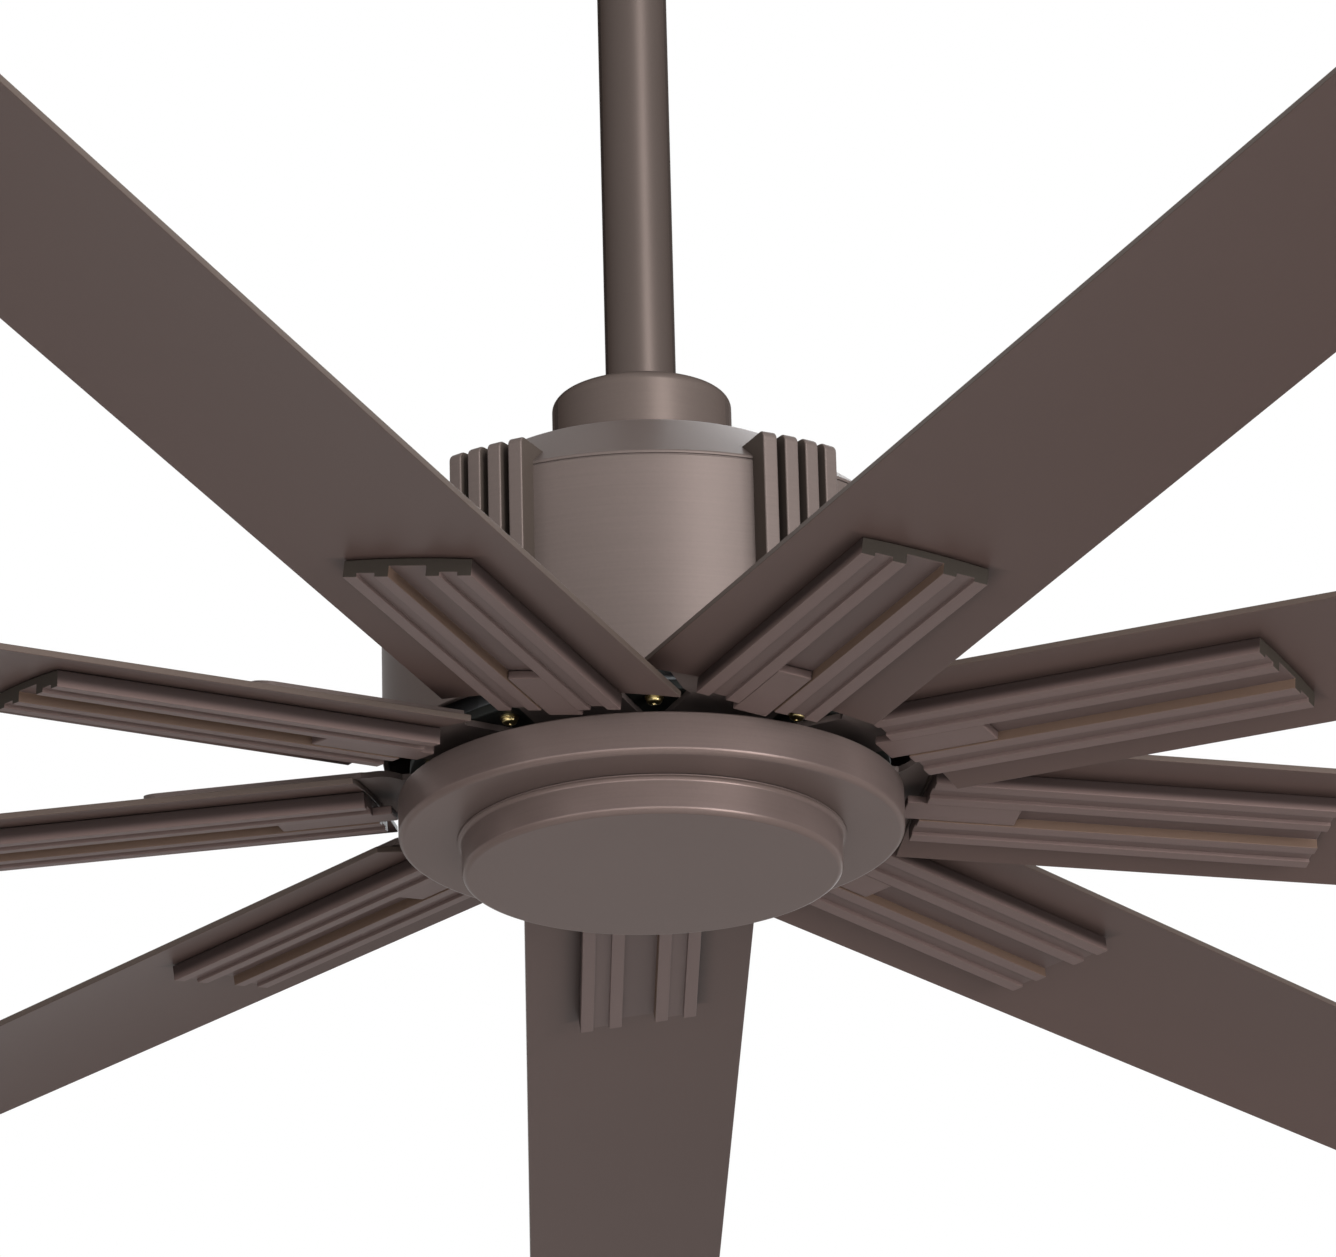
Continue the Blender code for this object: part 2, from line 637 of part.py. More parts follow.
def housing():
    """Shoulder and drum in one shell, open below, with fin blocks and the vents between the fins."""
    slope = SHOULDER_HEIGHT / (DRUM_RADIUS - HOUSING_TOP_RADIUS)
    lean = math.atan(slope)
    inner_shoulder = HOUSING_TOP_RADIUS - HOUSING_WALL * math.tan(lean / 2)
    inner_drum_top = drum_top_z - HOUSING_WALL * math.tan(math.pi / 4 - lean / 2)
    eye = SHAFT_RADIUS + GAP
    profile = [
        (eye, housing_top_z),
        (HOUSING_TOP_RADIUS, housing_top_z),
        (DRUM_RADIUS, drum_top_z),
        (DRUM_RADIUS, drum_foot_z),
        (drum_inner_radius, drum_foot_z),
        (drum_inner_radius, inner_drum_top),
        (inner_shoulder, housing_ceiling_z),
        (eye, housing_ceiling_z),
    ]
    shell = turned("housing", profile, LARGE_STEPS, "bronze_paint")

    bm = bmesh.new()
    outline = fin_outline()
    for block in block_turns():
        for index in range(FINS_PER_BLOCK):
            turn = block + (index - (FINS_PER_BLOCK - 1) / 2) * FIN_PITCH
            sides = (-FIN_WIDTH / 2, FIN_WIDTH / 2)
            add_loft(bm, [[around(*point, offset, turn) for point in outline] for offset in sides])
    combine(shell, solid("housing_fins", bm, "bronze_paint"), "UNION")

    bm = bmesh.new()
    low_z = drum_foot_z + VENT_FOOT_MARGIN
    high_z = drum_top_z - VENT_TOP_MARGIN
    for block in block_turns():
        for index in range(1, FINS_PER_BLOCK):
            turn = block + (index - FINS_PER_BLOCK / 2) * FIN_PITCH
            low = (drum_inner_radius - CUTTER_OVERRUN, -VENT_WIDTH / 2, low_z)
            add_box(bm, low, (DRUM_RADIUS + CUTTER_OVERRUN, VENT_WIDTH / 2, high_z), turn)
    combine(shell, solid("housing_vents", bm, "bronze_paint"), "DIFFERENCE")
    return shell


# Motor


def motor_shaft():
    """Hollow shaft that carries the housing, the stator, both bearings and the bottom cap."""
    collar_top = housing_ceiling_z - GAP
    collar_foot = collar_top - SHAFT_COLLAR_HEIGHT
    core_top = upper_bearing_z - GAP
    rest_top = stator_z - GAP
    rest_foot = rest_top - SHAFT_COLLAR_HEIGHT
    profile = [
        (SHAFT_RADIUS, shaft_top_z),
        (SHAFT_RADIUS, collar_top),
        (SHAFT_COLLAR_RADIUS, collar_top),
        (SHAFT_COLLAR_RADIUS, collar_foot),
        (SHAFT_RADIUS, collar_foot),
        (SHAFT_RADIUS, core_top),
        (SHAFT_CORE_RADIUS, core_top),
        (SHAFT_CORE_RADIUS, rest_top),
        (SHAFT_COLLAR_RADIUS, rest_top),
        (SHAFT_COLLAR_RADIUS, rest_foot),
        (SHAFT_RADIUS, rest_foot),
        (SHAFT_RADIUS, shaft_foot_z),
        (SHAFT_BORE_RADIUS, shaft_foot_z),
        (SHAFT_BORE_RADIUS, shaft_top_z),
    ]
    return turned("motor_shaft", profile, MEDIUM_STEPS, "bearing_steel")


def bearing(name, foot_z):
    """Ball bearing as one ring, its shields set back between the races."""
    inner = SHAFT_RADIUS + GAP
    top_z = foot_z + BEARING_HEIGHT
    inner_race = inner + BEARING_RACE
    outer_race = BEARING_RADIUS - BEARING_RACE
    profile = [
        (inner, top_z),
        (inner_race, top_z),
        (inner_race, top_z - BEARING_RECESS),
        (outer_race, top_z - BEARING_RECESS),
        (outer_race, top_z),
        (BEARING_RADIUS, top_z),
        (BEARING_RADIUS, foot_z),
        (inner, foot_z),
    ]
    return turned(name, profile, MEDIUM_STEPS, "bearing_steel")


def shaft_spacer():
    """Sleeve that holds the lower bearing up and the bottom cap off the flywheel."""
    foot = cap_foot_z + CAP_WALL + GAP
    inner = SHAFT_RADIUS + GAP
    profile = [(SPACER_RADIUS, flywheel_top_z), (SPACER_RADIUS, foot), (inner, foot), (inner, flywheel_top_z)]
    return turned("shaft_spacer", profile, MEDIUM_STEPS, "bearing_steel")


def shaft_nut():
    """Nut under the bottom cap."""
    top = cap_foot_z - GAP
    bm = bmesh.new()
    add_cylinder(bm, (0, 0, top - NUT_HEIGHT), (0, 0, top), NUT_CORNER_RADIUS, NUT_SIDES)
    nut = solid("shaft_nut", bm, "zinc_steel")
    start = (0, 0, top - NUT_HEIGHT - CUTTER_OVERRUN)
    cylinder_cutter(nut, "nut_hole", start, (0, 0, top + CUTTER_OVERRUN), SHAFT_RADIUS + GAP, MEDIUM_STEPS)
    return nut


def stator():
    """Laminated core with its teeth, drawn as one toothed ring."""
    outline = []
    core = SHAFT_CORE_RADIUS + (stator_radius - SHAFT_CORE_RADIUS) * STATOR_CORE_SHARE
    spacing = math.tau / STATOR_TEETH
    for tooth in range(STATOR_TEETH):
        middle = tooth * spacing
        tip = spacing * TOOTH_TIP_SHARE / 2
        root = spacing * TOOTH_ROOT_SHARE / 2
        for radius, turn in ((core, -root), (stator_radius, -tip), (stator_radius, tip), (core, root)):
            outline.append((radius, middle + turn))
    heights = (stator_z, stator_z + STATOR_HEIGHT)
    rings = [[around(radius, height, 0, turn) for radius, turn in outline] for height in heights]
    toothed = lofted("stator", rings, "copper_winding")
    start = (0, 0, stator_z - CUTTER_OVERRUN)
    end = (0, 0, stator_z + STATOR_HEIGHT + CUTTER_OVERRUN)
    cylinder_cutter(toothed, "stator_hole", start, end, SHAFT_CORE_RADIUS + GAP, MEDIUM_STEPS)
    return toothed


def receiver():
    """Ring-shaped case of the motor's electronics, under the housing's top."""
    top = housing_ceiling_z - GAP
    foot = top - RECEIVER_HEIGHT
    profile = [
        (RECEIVER_OUTER_RADIUS, top),
        (RECEIVER_OUTER_RADIUS, foot),
        (RECEIVER_INNER_RADIUS, foot),
        (RECEIVER_INNER_RADIUS, top),
    ]
    return turned("receiver", profile, MEDIUM_STEPS, "receiver_plastic")


def rotor_case():
    """Bell that turns round the stator, hung on the upper bearing by the boss under its lid."""
    lid_foot = rotor_top_z - ROTOR_LID
    boss_foot = upper_bearing_z
    boss_outer = bearing_seat_radius + BOSS_WALL
    profile = [
        (rotor_eye_radius, rotor_top_z),
        (rotor_radius, rotor_top_z),
        (rotor_radius, rotor_foot_z),
        (rotor_inner_radius, rotor_foot_z),
        (rotor_inner_radius, lid_foot),
        (boss_outer, lid_foot),
        (boss_outer, boss_foot),
        (bearing_seat_radius, boss_foot),
        (bearing_seat_radius, lid_foot),
        (rotor_eye_radius, lid_foot),
    ]
    return turned("rotor_case", profile, LARGE_STEPS, "cast_aluminium")


def magnet_ring():
    """Magnets on the inside of the bell, level with the stator."""
    middle = stator_z + STATOR_HEIGHT / 2
    top = middle + MAGNET_HEIGHT / 2
    foot = middle - MAGNET_HEIGHT / 2
    profile = [
        (magnet_outer_radius, top),
        (magnet_outer_radius, foot),
        (magnet_inner_radius, foot),
        (magnet_inner_radius, top),
    ]
    return turned("magnet_ring", profile, LARGE_STEPS, "magnet")


def flywheel():
    """Disc that closes the bell from below, seats the lower bearing and carries the blade irons."""
    boss_outer = bearing_seat_radius + BOSS_WALL
    boss_top = lower_bearing_z + BEARING_HEIGHT
    profile = [
        (flywheel_radius, flywheel_top_z),
        (flywheel_radius, flywheel_foot_z),
        (rotor_eye_radius, flywheel_foot_z),
        (rotor_eye_radius, flywheel_top_z),
        (bearing_seat_radius, flywheel_top_z),
        (bearing_seat_radius, boss_top),
        (boss_outer, boss_top),
        (boss_outer, flywheel_top_z),
    ]
    return turned("flywheel", profile, LARGE_STEPS, "cast_aluminium")


# Bottom cap


def bottom_cap():
    """Turned pan under the blades, clamped between the spacer and the nut."""
    centre_radius = CAP_RADIUS - CAP_FILLET
    centre_height = cap_foot_z + CAP_FILLET
    eye = SHAFT_RADIUS + GAP
    outer = arc(centre_radius, centre_height, CAP_FILLET, 0, -math.pi / 2)
    inner = arc(centre_radius, centre_height, CAP_FILLET - CAP_WALL, -math.pi / 2, 0)
    profile = [(CAP_RADIUS, cap_top_z)] + outer + [(eye, cap_foot_z), (eye, cap_foot_z + CAP_WALL)] + inner
    profile.append((CAP_RADIUS - CAP_WALL, cap_top_z))
    return turned("bottom_cap", profile, LARGE_STEPS, "bronze_paint")


def bottom_cover():
    """Smaller pan under the cap, which hides the nut and flares out where it meets the cap."""
    top = cap_foot_z - GAP
    foot = top - BOTTOM_COVER_HEIGHT
    centre_radius = BOTTOM_COVER_RADIUS - BOTTOM_COVER_FILLET
    centre_height = foot + BOTTOM_COVER_FILLET
    outer = arc(centre_radius, centre_height, BOTTOM_COVER_FILLET, 0, -math.pi / 2)
    inner = arc(centre_radius, centre_height, BOTTOM_COVER_FILLET - CAP_WALL, -math.pi / 2, 0)
    brim_radius = BOTTOM_COVER_RADIUS + BOTTOM_COVER_FLARE
    brim_foot = top - BOTTOM_COVER_BRIM
    rim = [(BOTTOM_COVER_RADIUS - CAP_WALL, top), (brim_radius, top)]
    flare = arc(brim_radius, brim_foot - BOTTOM_COVER_FLARE, BOTTOM_COVER_FLARE, math.pi / 2, math.pi)
    profile = [(0, foot + CAP_WALL)] + inner + rim + flare + outer + [(0, foot)]
    return turned("bottom_cover", profile, LARGE_STEPS, "bronze_paint")


# Blades and what carries them


def on_blade(along, across, rise):
    """A point given by its distance out along the blade from the fan's middle, and its place across and over it."""
    return BLADE_FRAME @ Vector((along - BLADE_LEVEL_RADIUS, across, rise))


def camber(across):
    """Height of the blade's middle surface, as straight runs between its centre, its knees and its edges."""
    half = BLADE_ROOT_WIDTH / 2
    knee = half * CAMBER_KNEE_SHARE
    centre = BLADE_CAMBER * CAMBER_CENTRE_SHARE
    knee_drop = BLADE_CAMBER * CAMBER_KNEE_SHARE**2
    distance = abs(across)
    if distance <= knee:
        return centre - knee_drop * distance / knee
    return centre - knee_drop - (BLADE_CAMBER - knee_drop) * (distance - knee) / (half - knee)


def camber_stops(half_width):
    """Places across the blade where its section bends, from one edge to the other."""
    knee = BLADE_ROOT_WIDTH / 2 * CAMBER_KNEE_SHARE
    inner = [-knee, 0, knee] if half_width > knee else [0]
    return [-half_width] + inner + [half_width]


def blade_section(along, half_width):
    """Ring of points round the blade at one distance from the axis."""
    stops = camber_stops(half_width - BLADE_EDGE_ROUND)
    upper = [on_blade(along, stop, camber(stop) + BLADE_THICKNESS / 2) for stop in stops]
    lower = [on_blade(along, stop, camber(stop) - BLADE_THICKNESS / 2) for stop in reversed(stops)]
    far_edge = on_blade(along, half_width, camber(half_width))
    near_edge = on_blade(along, -half_width, camber(half_width))
    return upper + [far_edge] + lower + [near_edge]


def blade_mesh():
    """Long cambered blade, narrower at its tip, drilled for the two clamp bolts."""
    root_half = BLADE_ROOT_WIDTH / 2
    tip_half = BLADE_TIP_WIDTH / 2
    corner = blade_tip - TIP_CORNER
    taper = (root_half - tip_half) / BLADE_LENGTH
    rings = [blade_section(blade_root, root_half), blade_section(corner, tip_half + taper * TIP_CORNER)]
    for step in range(1, ARC_STEPS + 1):
        angle = math.pi / 2 * step / ARC_STEPS
        cut_back = TIP_CORNER * (1 - math.cos(angle))
        rings.append(blade_section(corner + TIP_CORNER * math.sin(angle), tip_half - cut_back))
    return drilled(lofted("blade", rings, "bronze_paint"))


def iron_point(along, across, side, pad_share):
    """A point on the iron's top (side 1) or underside (side -1), from its level foot to its pitched pad."""
    foot = Vector((along, across, iron_foot_z + side * IRON_THICKNESS / 2))
    middle = camber(across) + BLADE_THICKNESS / 2 + GAP + IRON_THICKNESS / 2
    pad = on_blade(along, across, middle + side * IRON_THICKNESS / 2)
    return foot.lerp(pad, pad_share)


def iron_section(along, half_width, pad_share, stop_scale=1.0):
    """Ring of points round the iron at one distance from the axis."""
    knee = BLADE_ROOT_WIDTH / 2 * CAMBER_KNEE_SHARE * stop_scale
    stops = (-half_width, -knee, 0, knee, half_width)
    upper = [iron_point(along, stop, 1, pad_share) for stop in stops]
    lower = [iron_point(along, stop, -1, pad_share) for stop in reversed(stops)]
    return upper + lower


def iron_mesh():
    """Blade iron: a level foot under the flywheel, a twisted neck and a wide pad on top of the blade."""
    foot_start = flywheel_radius - IRON_FOOT_LENGTH
    foot_end = flywheel_radius + RUNNING_GAP
    pad_start = blade_root - IRON_PAD_LEAD
    pad_end = blade_root + IRON_GRIP
    foot_half = IRON_FOOT_WIDTH / 2
    pad_half = IRON_WIDTH / 2
    foot_scale = foot_half / pad_half
    rings = [iron_section(foot_start, foot_half, 0.0, foot_scale)]
    for step in range(IRON_TWIST_STEPS + 1):
        share = step / IRON_TWIST_STEPS
        eased = share * share * (3 - 2 * share)
        along = foot_end + (pad_start - foot_end) * share
        half_width = foot_half + (pad_half - foot_half) * share
        rings.append(iron_section(along, half_width, eased, half_width / pad_half))
    for step in range(IRON_CORNER_STEPS + 1):
        angle = math.pi / 2 * step / IRON_CORNER_STEPS
        along = pad_end - IRON_CORNER * (1 - math.sin(angle))
        rings.append(iron_section(along, pad_half - IRON_CORNER * (1 - math.cos(angle)), 1.0))
    return drilled(lofted("iron", rings, "bronze_paint"))


def rail_outline():
    """Half section of the rail bracket, as (across, rise) points from its crown, round one rail, to its middle."""
    web_half = WEB_WIDTH / 2
    rail_middle = web_half + RAIL_WIDTH / 2
    rail_outer = web_half + RAIL_WIDTH
    notch = RAIL_NOTCH_WIDTH / 2
    under_blade = BLADE_THICKNESS / 2 + GAP
    crown = [(across, camber(across) - under_blade) for across in camber_stops(rail_outer) if across >= 0]
    foot = camber(rail_middle) - under_blade - RAIL_HEIGHT
    web_foot = camber(0) - under_blade - WEB_THICKNESS
    return crown + [
        (rail_outer, foot),
        (rail_middle + notch, foot),
        (rail_middle + notch, foot + RAIL_NOTCH_DEPTH),
        (rail_middle - notch, foot + RAIL_NOTCH_DEPTH),
        (rail_middle - notch, foot),
        (web_half, foot),
        (web_half, web_foot),
    ]


def rail_mesh():
    """Extruded bracket under the blade: two notched rails joined by a thin web."""
    right = rail_outline()
    left = [(-across, rise) for across, rise in reversed(right[1:])]
    ends = (blade_root, blade_root + RAIL_LENGTH)
    rings = [[on_blade(along, across, rise) for across, rise in right + left] for along in ends]
    return drilled(lofted("rail", rings, "bronze_paint"))


def bolt_lines(low_rise, high_rise):
    """Ends of both clamp bolts' axes, between two heights over the blade's plane."""
    places = [blade_root + CLAMP_REACH * share for share in CLAMP_BOLT_SHARES]
    return [(on_blade(along, 0, low_rise), on_blade(along, 0, high_rise)) for along in places]


def drilled(obj):
    """Drill a piece for the clamp bolts and return its finished mesh."""
    reach = RAIL_HEIGHT + BLADE_THICKNESS + IRON_THICKNESS
    bm = bmesh.new()
    for start, end in bolt_lines(-reach, reach):
        add_cylinder(bm, start, end, BOLT_RADIUS + GAP, BOLT_STEPS)
    combine(obj, solid(obj.name + "_bolt_holes", bm, "bronze_paint"), "DIFFERENCE")
    obj.hide_render = True
    return finished_mesh(obj)


def clamp_mesh():
    """Flat bar in the groove between the rails, with the two bolts that hold the stack and their nuts."""
    bar_top = camber(0) - BLADE_THICKNESS / 2 - GAP - WEB_THICKNESS - GAP
    bar_foot = bar_top - CLAMP_THICKNESS
    half = WEB_WIDTH / 2 - GAP
    corners = ((-half, bar_top), (half, bar_top), (half, bar_foot), (-half, bar_foot))
    rings = [[on_blade(along, across, rise) for across, rise in corners] for along in (clamp_root, clamp_end)]
    bar = lofted("clamp", rings, "bronze_paint")
    nut_foot = camber(0) + BLADE_THICKNESS / 2 + GAP + IRON_THICKNESS + GAP
    nut_top = nut_foot + BOLT_NUT_HEIGHT
    bm = bmesh.new()
    for start, end in bolt_lines(bar_top - CLAMP_THICKNESS / 2, nut_top + GAP):
        add_cylinder(bm, start, end, BOLT_RADIUS, BOLT_STEPS)
    combine(bar, solid("clamp_bolts", bm, "bronze_paint"), "UNION")
    bm = bmesh.new()
    for start, end in bolt_lines(nut_foot, nut_top):
        add_cylinder(bm, start, end, BOLT_NUT_RADIUS, BOLT_STEPS)
    combine(bar, solid("clamp_nuts", bm, "bronze_paint"), "UNION")
    bar.hide_render = True
    return finished_mesh(bar)


def blade_sets(rotor_axis):
    """Nine copies of the blade, its iron, its rails and its clamp, turned round the rotor's axis."""
    meshes = {"blade": blade_mesh(), "iron": iron_mesh(), "rail": rail_mesh(), "clamp": clamp_mesh()}
    for index in range(BLADE_COUNT):
        turn = math.pi / 2 + ROTOR_REST_TURN + math.tau * index / BLADE_COUNT
        for kind, mesh in meshes.items():
            obj = bpy.data.objects.new(f"{kind}_{index + 1}", mesh)
            bpy.context.scene.collection.objects.link(obj)
            obj.rotation_euler = (0, 0, turn)
            carry(obj, rotor_axis)


def main():
    """Build every piece and hang it on the pivot that it moves about."""
    clear_scene()
    ball_pivot = pivot("ball_pivot", ball_z)
    stem_pivot = pivot("stem_pivot", ball_z, ball_pivot)
    rotor_axis = pivot("rotor_axis", blade_plane_z, stem_pivot)
    cover_axis = pivot("cover_axis", housing_top_z, stem_pivot)

    ceiling_bracket()
    canopy()
    canopy_screw("canopy_screw_front", -1)
    canopy_screw("canopy_screw_rear", 1)
    carry(ball_seat(), ball_pivot)
    carry(coupling_cover(), cover_axis)
    stem = (
        hanger_ball(),
        ball_pin(),
        downrod(),
        yoke(),
        clevis_pin(),
        housing(),
        receiver(),
        motor_shaft(),
        stator(),
        bearing("upper_bearing", upper_bearing_z),
        bearing("lower_bearing", lower_bearing_z),
        shaft_spacer(),
        bottom_cap(),
        shaft_nut(),
        bottom_cover(),
    )
    for piece in stem:
        carry(piece, stem_pivot)
    for piece in (rotor_case(), magnet_ring(), flywheel()):
        carry(piece, rotor_axis)
    blade_sets(rotor_axis)


main()
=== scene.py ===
import logging
import math
from dataclasses import dataclass, replace
from enum import Enum
from typing import Callable, Iterator, NamedTuple, Sequence

import bmesh
import bpy
from mathutils import Matrix, Vector


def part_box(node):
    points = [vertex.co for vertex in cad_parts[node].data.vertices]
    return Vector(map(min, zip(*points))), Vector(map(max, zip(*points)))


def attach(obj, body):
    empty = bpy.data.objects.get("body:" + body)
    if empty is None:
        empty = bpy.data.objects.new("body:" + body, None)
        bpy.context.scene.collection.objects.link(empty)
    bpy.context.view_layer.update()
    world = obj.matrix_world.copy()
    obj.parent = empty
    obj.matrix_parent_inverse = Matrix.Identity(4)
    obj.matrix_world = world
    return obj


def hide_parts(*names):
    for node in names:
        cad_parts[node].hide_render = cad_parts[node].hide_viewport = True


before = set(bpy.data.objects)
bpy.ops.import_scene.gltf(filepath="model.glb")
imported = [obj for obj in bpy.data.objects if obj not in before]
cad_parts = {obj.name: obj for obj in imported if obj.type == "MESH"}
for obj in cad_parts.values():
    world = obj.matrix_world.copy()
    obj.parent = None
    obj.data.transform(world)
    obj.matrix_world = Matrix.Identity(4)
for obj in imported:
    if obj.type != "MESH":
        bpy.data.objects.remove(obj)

log = logging.getLogger("ceiling_fan")

CLEARANCE = 0.0003
ROUND_STEPS = 128
SMALL_ROUND_STEPS = 48
WELD = 1e-6
QUARTER = math.pi / 2
SMOOTH_ANGLE = math.radians(32)
HARD_EDGE = math.radians(40)
BLUNT_EDGE = math.radians(60)

Colour = tuple[float, float, float]


def placed(name: str, data: bpy.types.ID) -> bpy.types.Object:
    """Put a mesh, lamp or camera in the scene as an object.

    Args:
        name: The object's name.
        data: The mesh, lamp or camera.

    Returns:
        The object.
    """
    made = bpy.data.objects.new(name, data)
    bpy.context.scene.collection.objects.link(made)
    return made


def aimed(axis: str, angle: float, x: float = 0.0, z: float = 0.0) -> Matrix:
    """Return a turn about an axis, followed by a move along X and Z."""
    return Matrix.Translation((x, 0, z)) @ Matrix.Rotation(angle, 4, axis)


# Shader graphs


def _worked(operation: str, reflected: bool = False) -> Callable[["Reading", "Operand"], "Reading"]:
    """Write a method of Reading that adds one Math node.

    Args:
        operation: The Math node's operation.
        reflected: Whether the reading itself is the second value.

    Returns:
        The method, which returns what the node puts out.
    """

    def method(self: "Reading", other: "Operand") -> "Reading":
        """Return the operation's result for two values."""
        first, second = (other, self) if reflected else (self, other)
        return self.graph.node("ShaderNodeMath", {"operation": operation}, {0: first, 1: second})

    return method


class Reading:
    """A socket of a shader graph that takes part in Python expressions."""

    def __init__(self, graph: "Graph", socket: bpy.types.NodeSocket) -> None:
        """Wrap one output socket of a graph."""
        self.graph = graph
        self.socket = socket

    __add__ = _worked("ADD")
    __radd__ = _worked("ADD", reflected=True)
    __sub__ = _worked("SUBTRACT")
    __rsub__ = _worked("SUBTRACT", reflected=True)
    __mul__ = _worked("MULTIPLY")
    __rmul__ = _worked("MULTIPLY", reflected=True)
    __pow__ = _worked("POWER")
    larger = _worked("MAXIMUM")
    angle_to = _worked("ARCTAN2")

    def size(self) -> "Reading":
        """Return the value without its sign."""
        return self.graph.node("ShaderNodeMath", {"operation": "ABSOLUTE"}, {0: self})


Operand = Reading | float
Plug = Operand | Sequence[float]


class Graph:
    """A node tree that is written as expressions."""

    def __init__(self, tree: bpy.types.NodeTree) -> None:
        """Take over a node tree and empty it."""
        self.tree = tree
        tree.nodes.clear()

    def node(
        self, kind: str, settings: dict[str, object] | None = None, plugs: dict[str | int, Plug] | None = None,
        output: str | int = 0,
    ) -> Reading:
        """Add a node.

        Args:
            kind: The node's type.
            settings: Its properties, which are set first.
            plugs: What goes into its sockets, by name, identifier or number.
            output: The socket that is read from it.

        Returns:
            The chosen output.
        """
        made = self.tree.nodes.new(kind)
        for key, value in (settings or {}).items():
            setattr(made, key, value)
        for key, value in (plugs or {}).items():
            socket = self._socket(made.inputs, key)
            if isinstance(value, Reading):
                self.tree.links.new(value.socket, socket)
            else:
                socket.default_value = value
        outputs = self._socket(made.outputs, output) if made.outputs else None
        return Reading(self, outputs)

    @staticmethod
    def _socket(sockets: bpy.types.bpy_prop_collection, key: str | int) -> bpy.types.NodeSocket:
        """Find a socket by its number, identifier or name.

        Args:
            sockets: A node's inputs or outputs.
            key: The number, identifier or name.

        Returns:
            The socket.
        """
        if isinstance(key, int):
            return sockets[key]
        for socket in sockets:
            if socket.identifier == key:
                return socket
        return sockets[key]

    def place(self) -> Reading:
        """Return the point on the object, in its own axes."""
        return self.node("ShaderNodeTexCoord", output="Object")

    def attribute(self, name: str) -> Reading:
        """Return a named attribute of the mesh as a vector."""
        return self.node("ShaderNodeAttribute", {"attribute_name": name}, output="Vector")

    def parts(self, vector: Reading) -> tuple[Reading, Reading, Reading]:
        """Split a vector into its three numbers."""
        split = self.node("ShaderNodeSeparateXYZ", plugs={0: vector}).socket.node
        return tuple(Reading(self, socket) for socket in split.outputs)

    def vector(self, x: Operand, y: Operand, z: Operand) -> Reading:
        """Join three numbers into a vector."""
        return self.node("ShaderNodeCombineXYZ", plugs={0: x, 1: y, 2: z})

    def noise(self, vector: Reading, scale: float, detail: float = 3.0, roughness: float = 0.5) -> Reading:
        """Return fractal noise between 0 and 1."""
        plugs = {"Vector": vector, "Scale": scale, "Detail": detail, "Roughness": roughness}
        return self.node("ShaderNodeTexNoise", plugs=plugs)

    def rise(self, value: Operand, low: float, high: float) -> Reading:
        """Return a smooth step from 0 at the low value to 1 at the high one."""
        plugs = {"Value": value, "From Min": low, "From Max": high, "To Min": 0.0, "To Max": 1.0}
        return self.node("ShaderNodeMapRange", {"interpolation_type": "SMOOTHSTEP"}, plugs)

    @staticmethod
    def mixed(first: Reading, second: Reading, share: float) -> Reading:
        """Return a share of one value and the rest of another."""
        return first * share + second * (1 - share)

    def darkened(self, colour: Reading, share: Reading) -> Reading:
        """Return a colour times a share of its light."""
        plugs = {"Factor_Float": 1.0, "A_Color": colour, "B_Color": self.vector(share, share, share)}
        return self.node("ShaderNodeMix", {"data_type": "RGBA", "blend_type": "MULTIPLY"}, plugs, "Result_Color")

    def blend(self, share: Operand, low: Sequence[float], high: Sequence[float]) -> Reading:
        """Return a colour between two others."""
        plugs = {"Factor_Float": share, "A_Color": (*low, 1.0), "B_Color": (*high, 1.0)}
        return self.node("ShaderNodeMix", {"data_type": "RGBA"}, plugs, "Result_Color")


# Finishes


class Pattern(Enum):
    """What the fine structure of a finish looks like."""

    SPRAYED = "an even orange peel"
    TURNED = "faint rings about the fan's axis, under the paint"
    DRAWN = "faint lines along a blade, under the paint"
    SPANGLED = "crystals of hot zinc"
    CAST = "the skin of a sand casting"
    WOUND = "turns of enamelled wire"


class PaintedShade(Enum):
    """Where painted shade darkens the paint."""

    NONE = "nowhere"
    BESIDE_RAILS = "on the blade, along its rails"
    UNDER_BLADE = "on the rails, next to the blade"


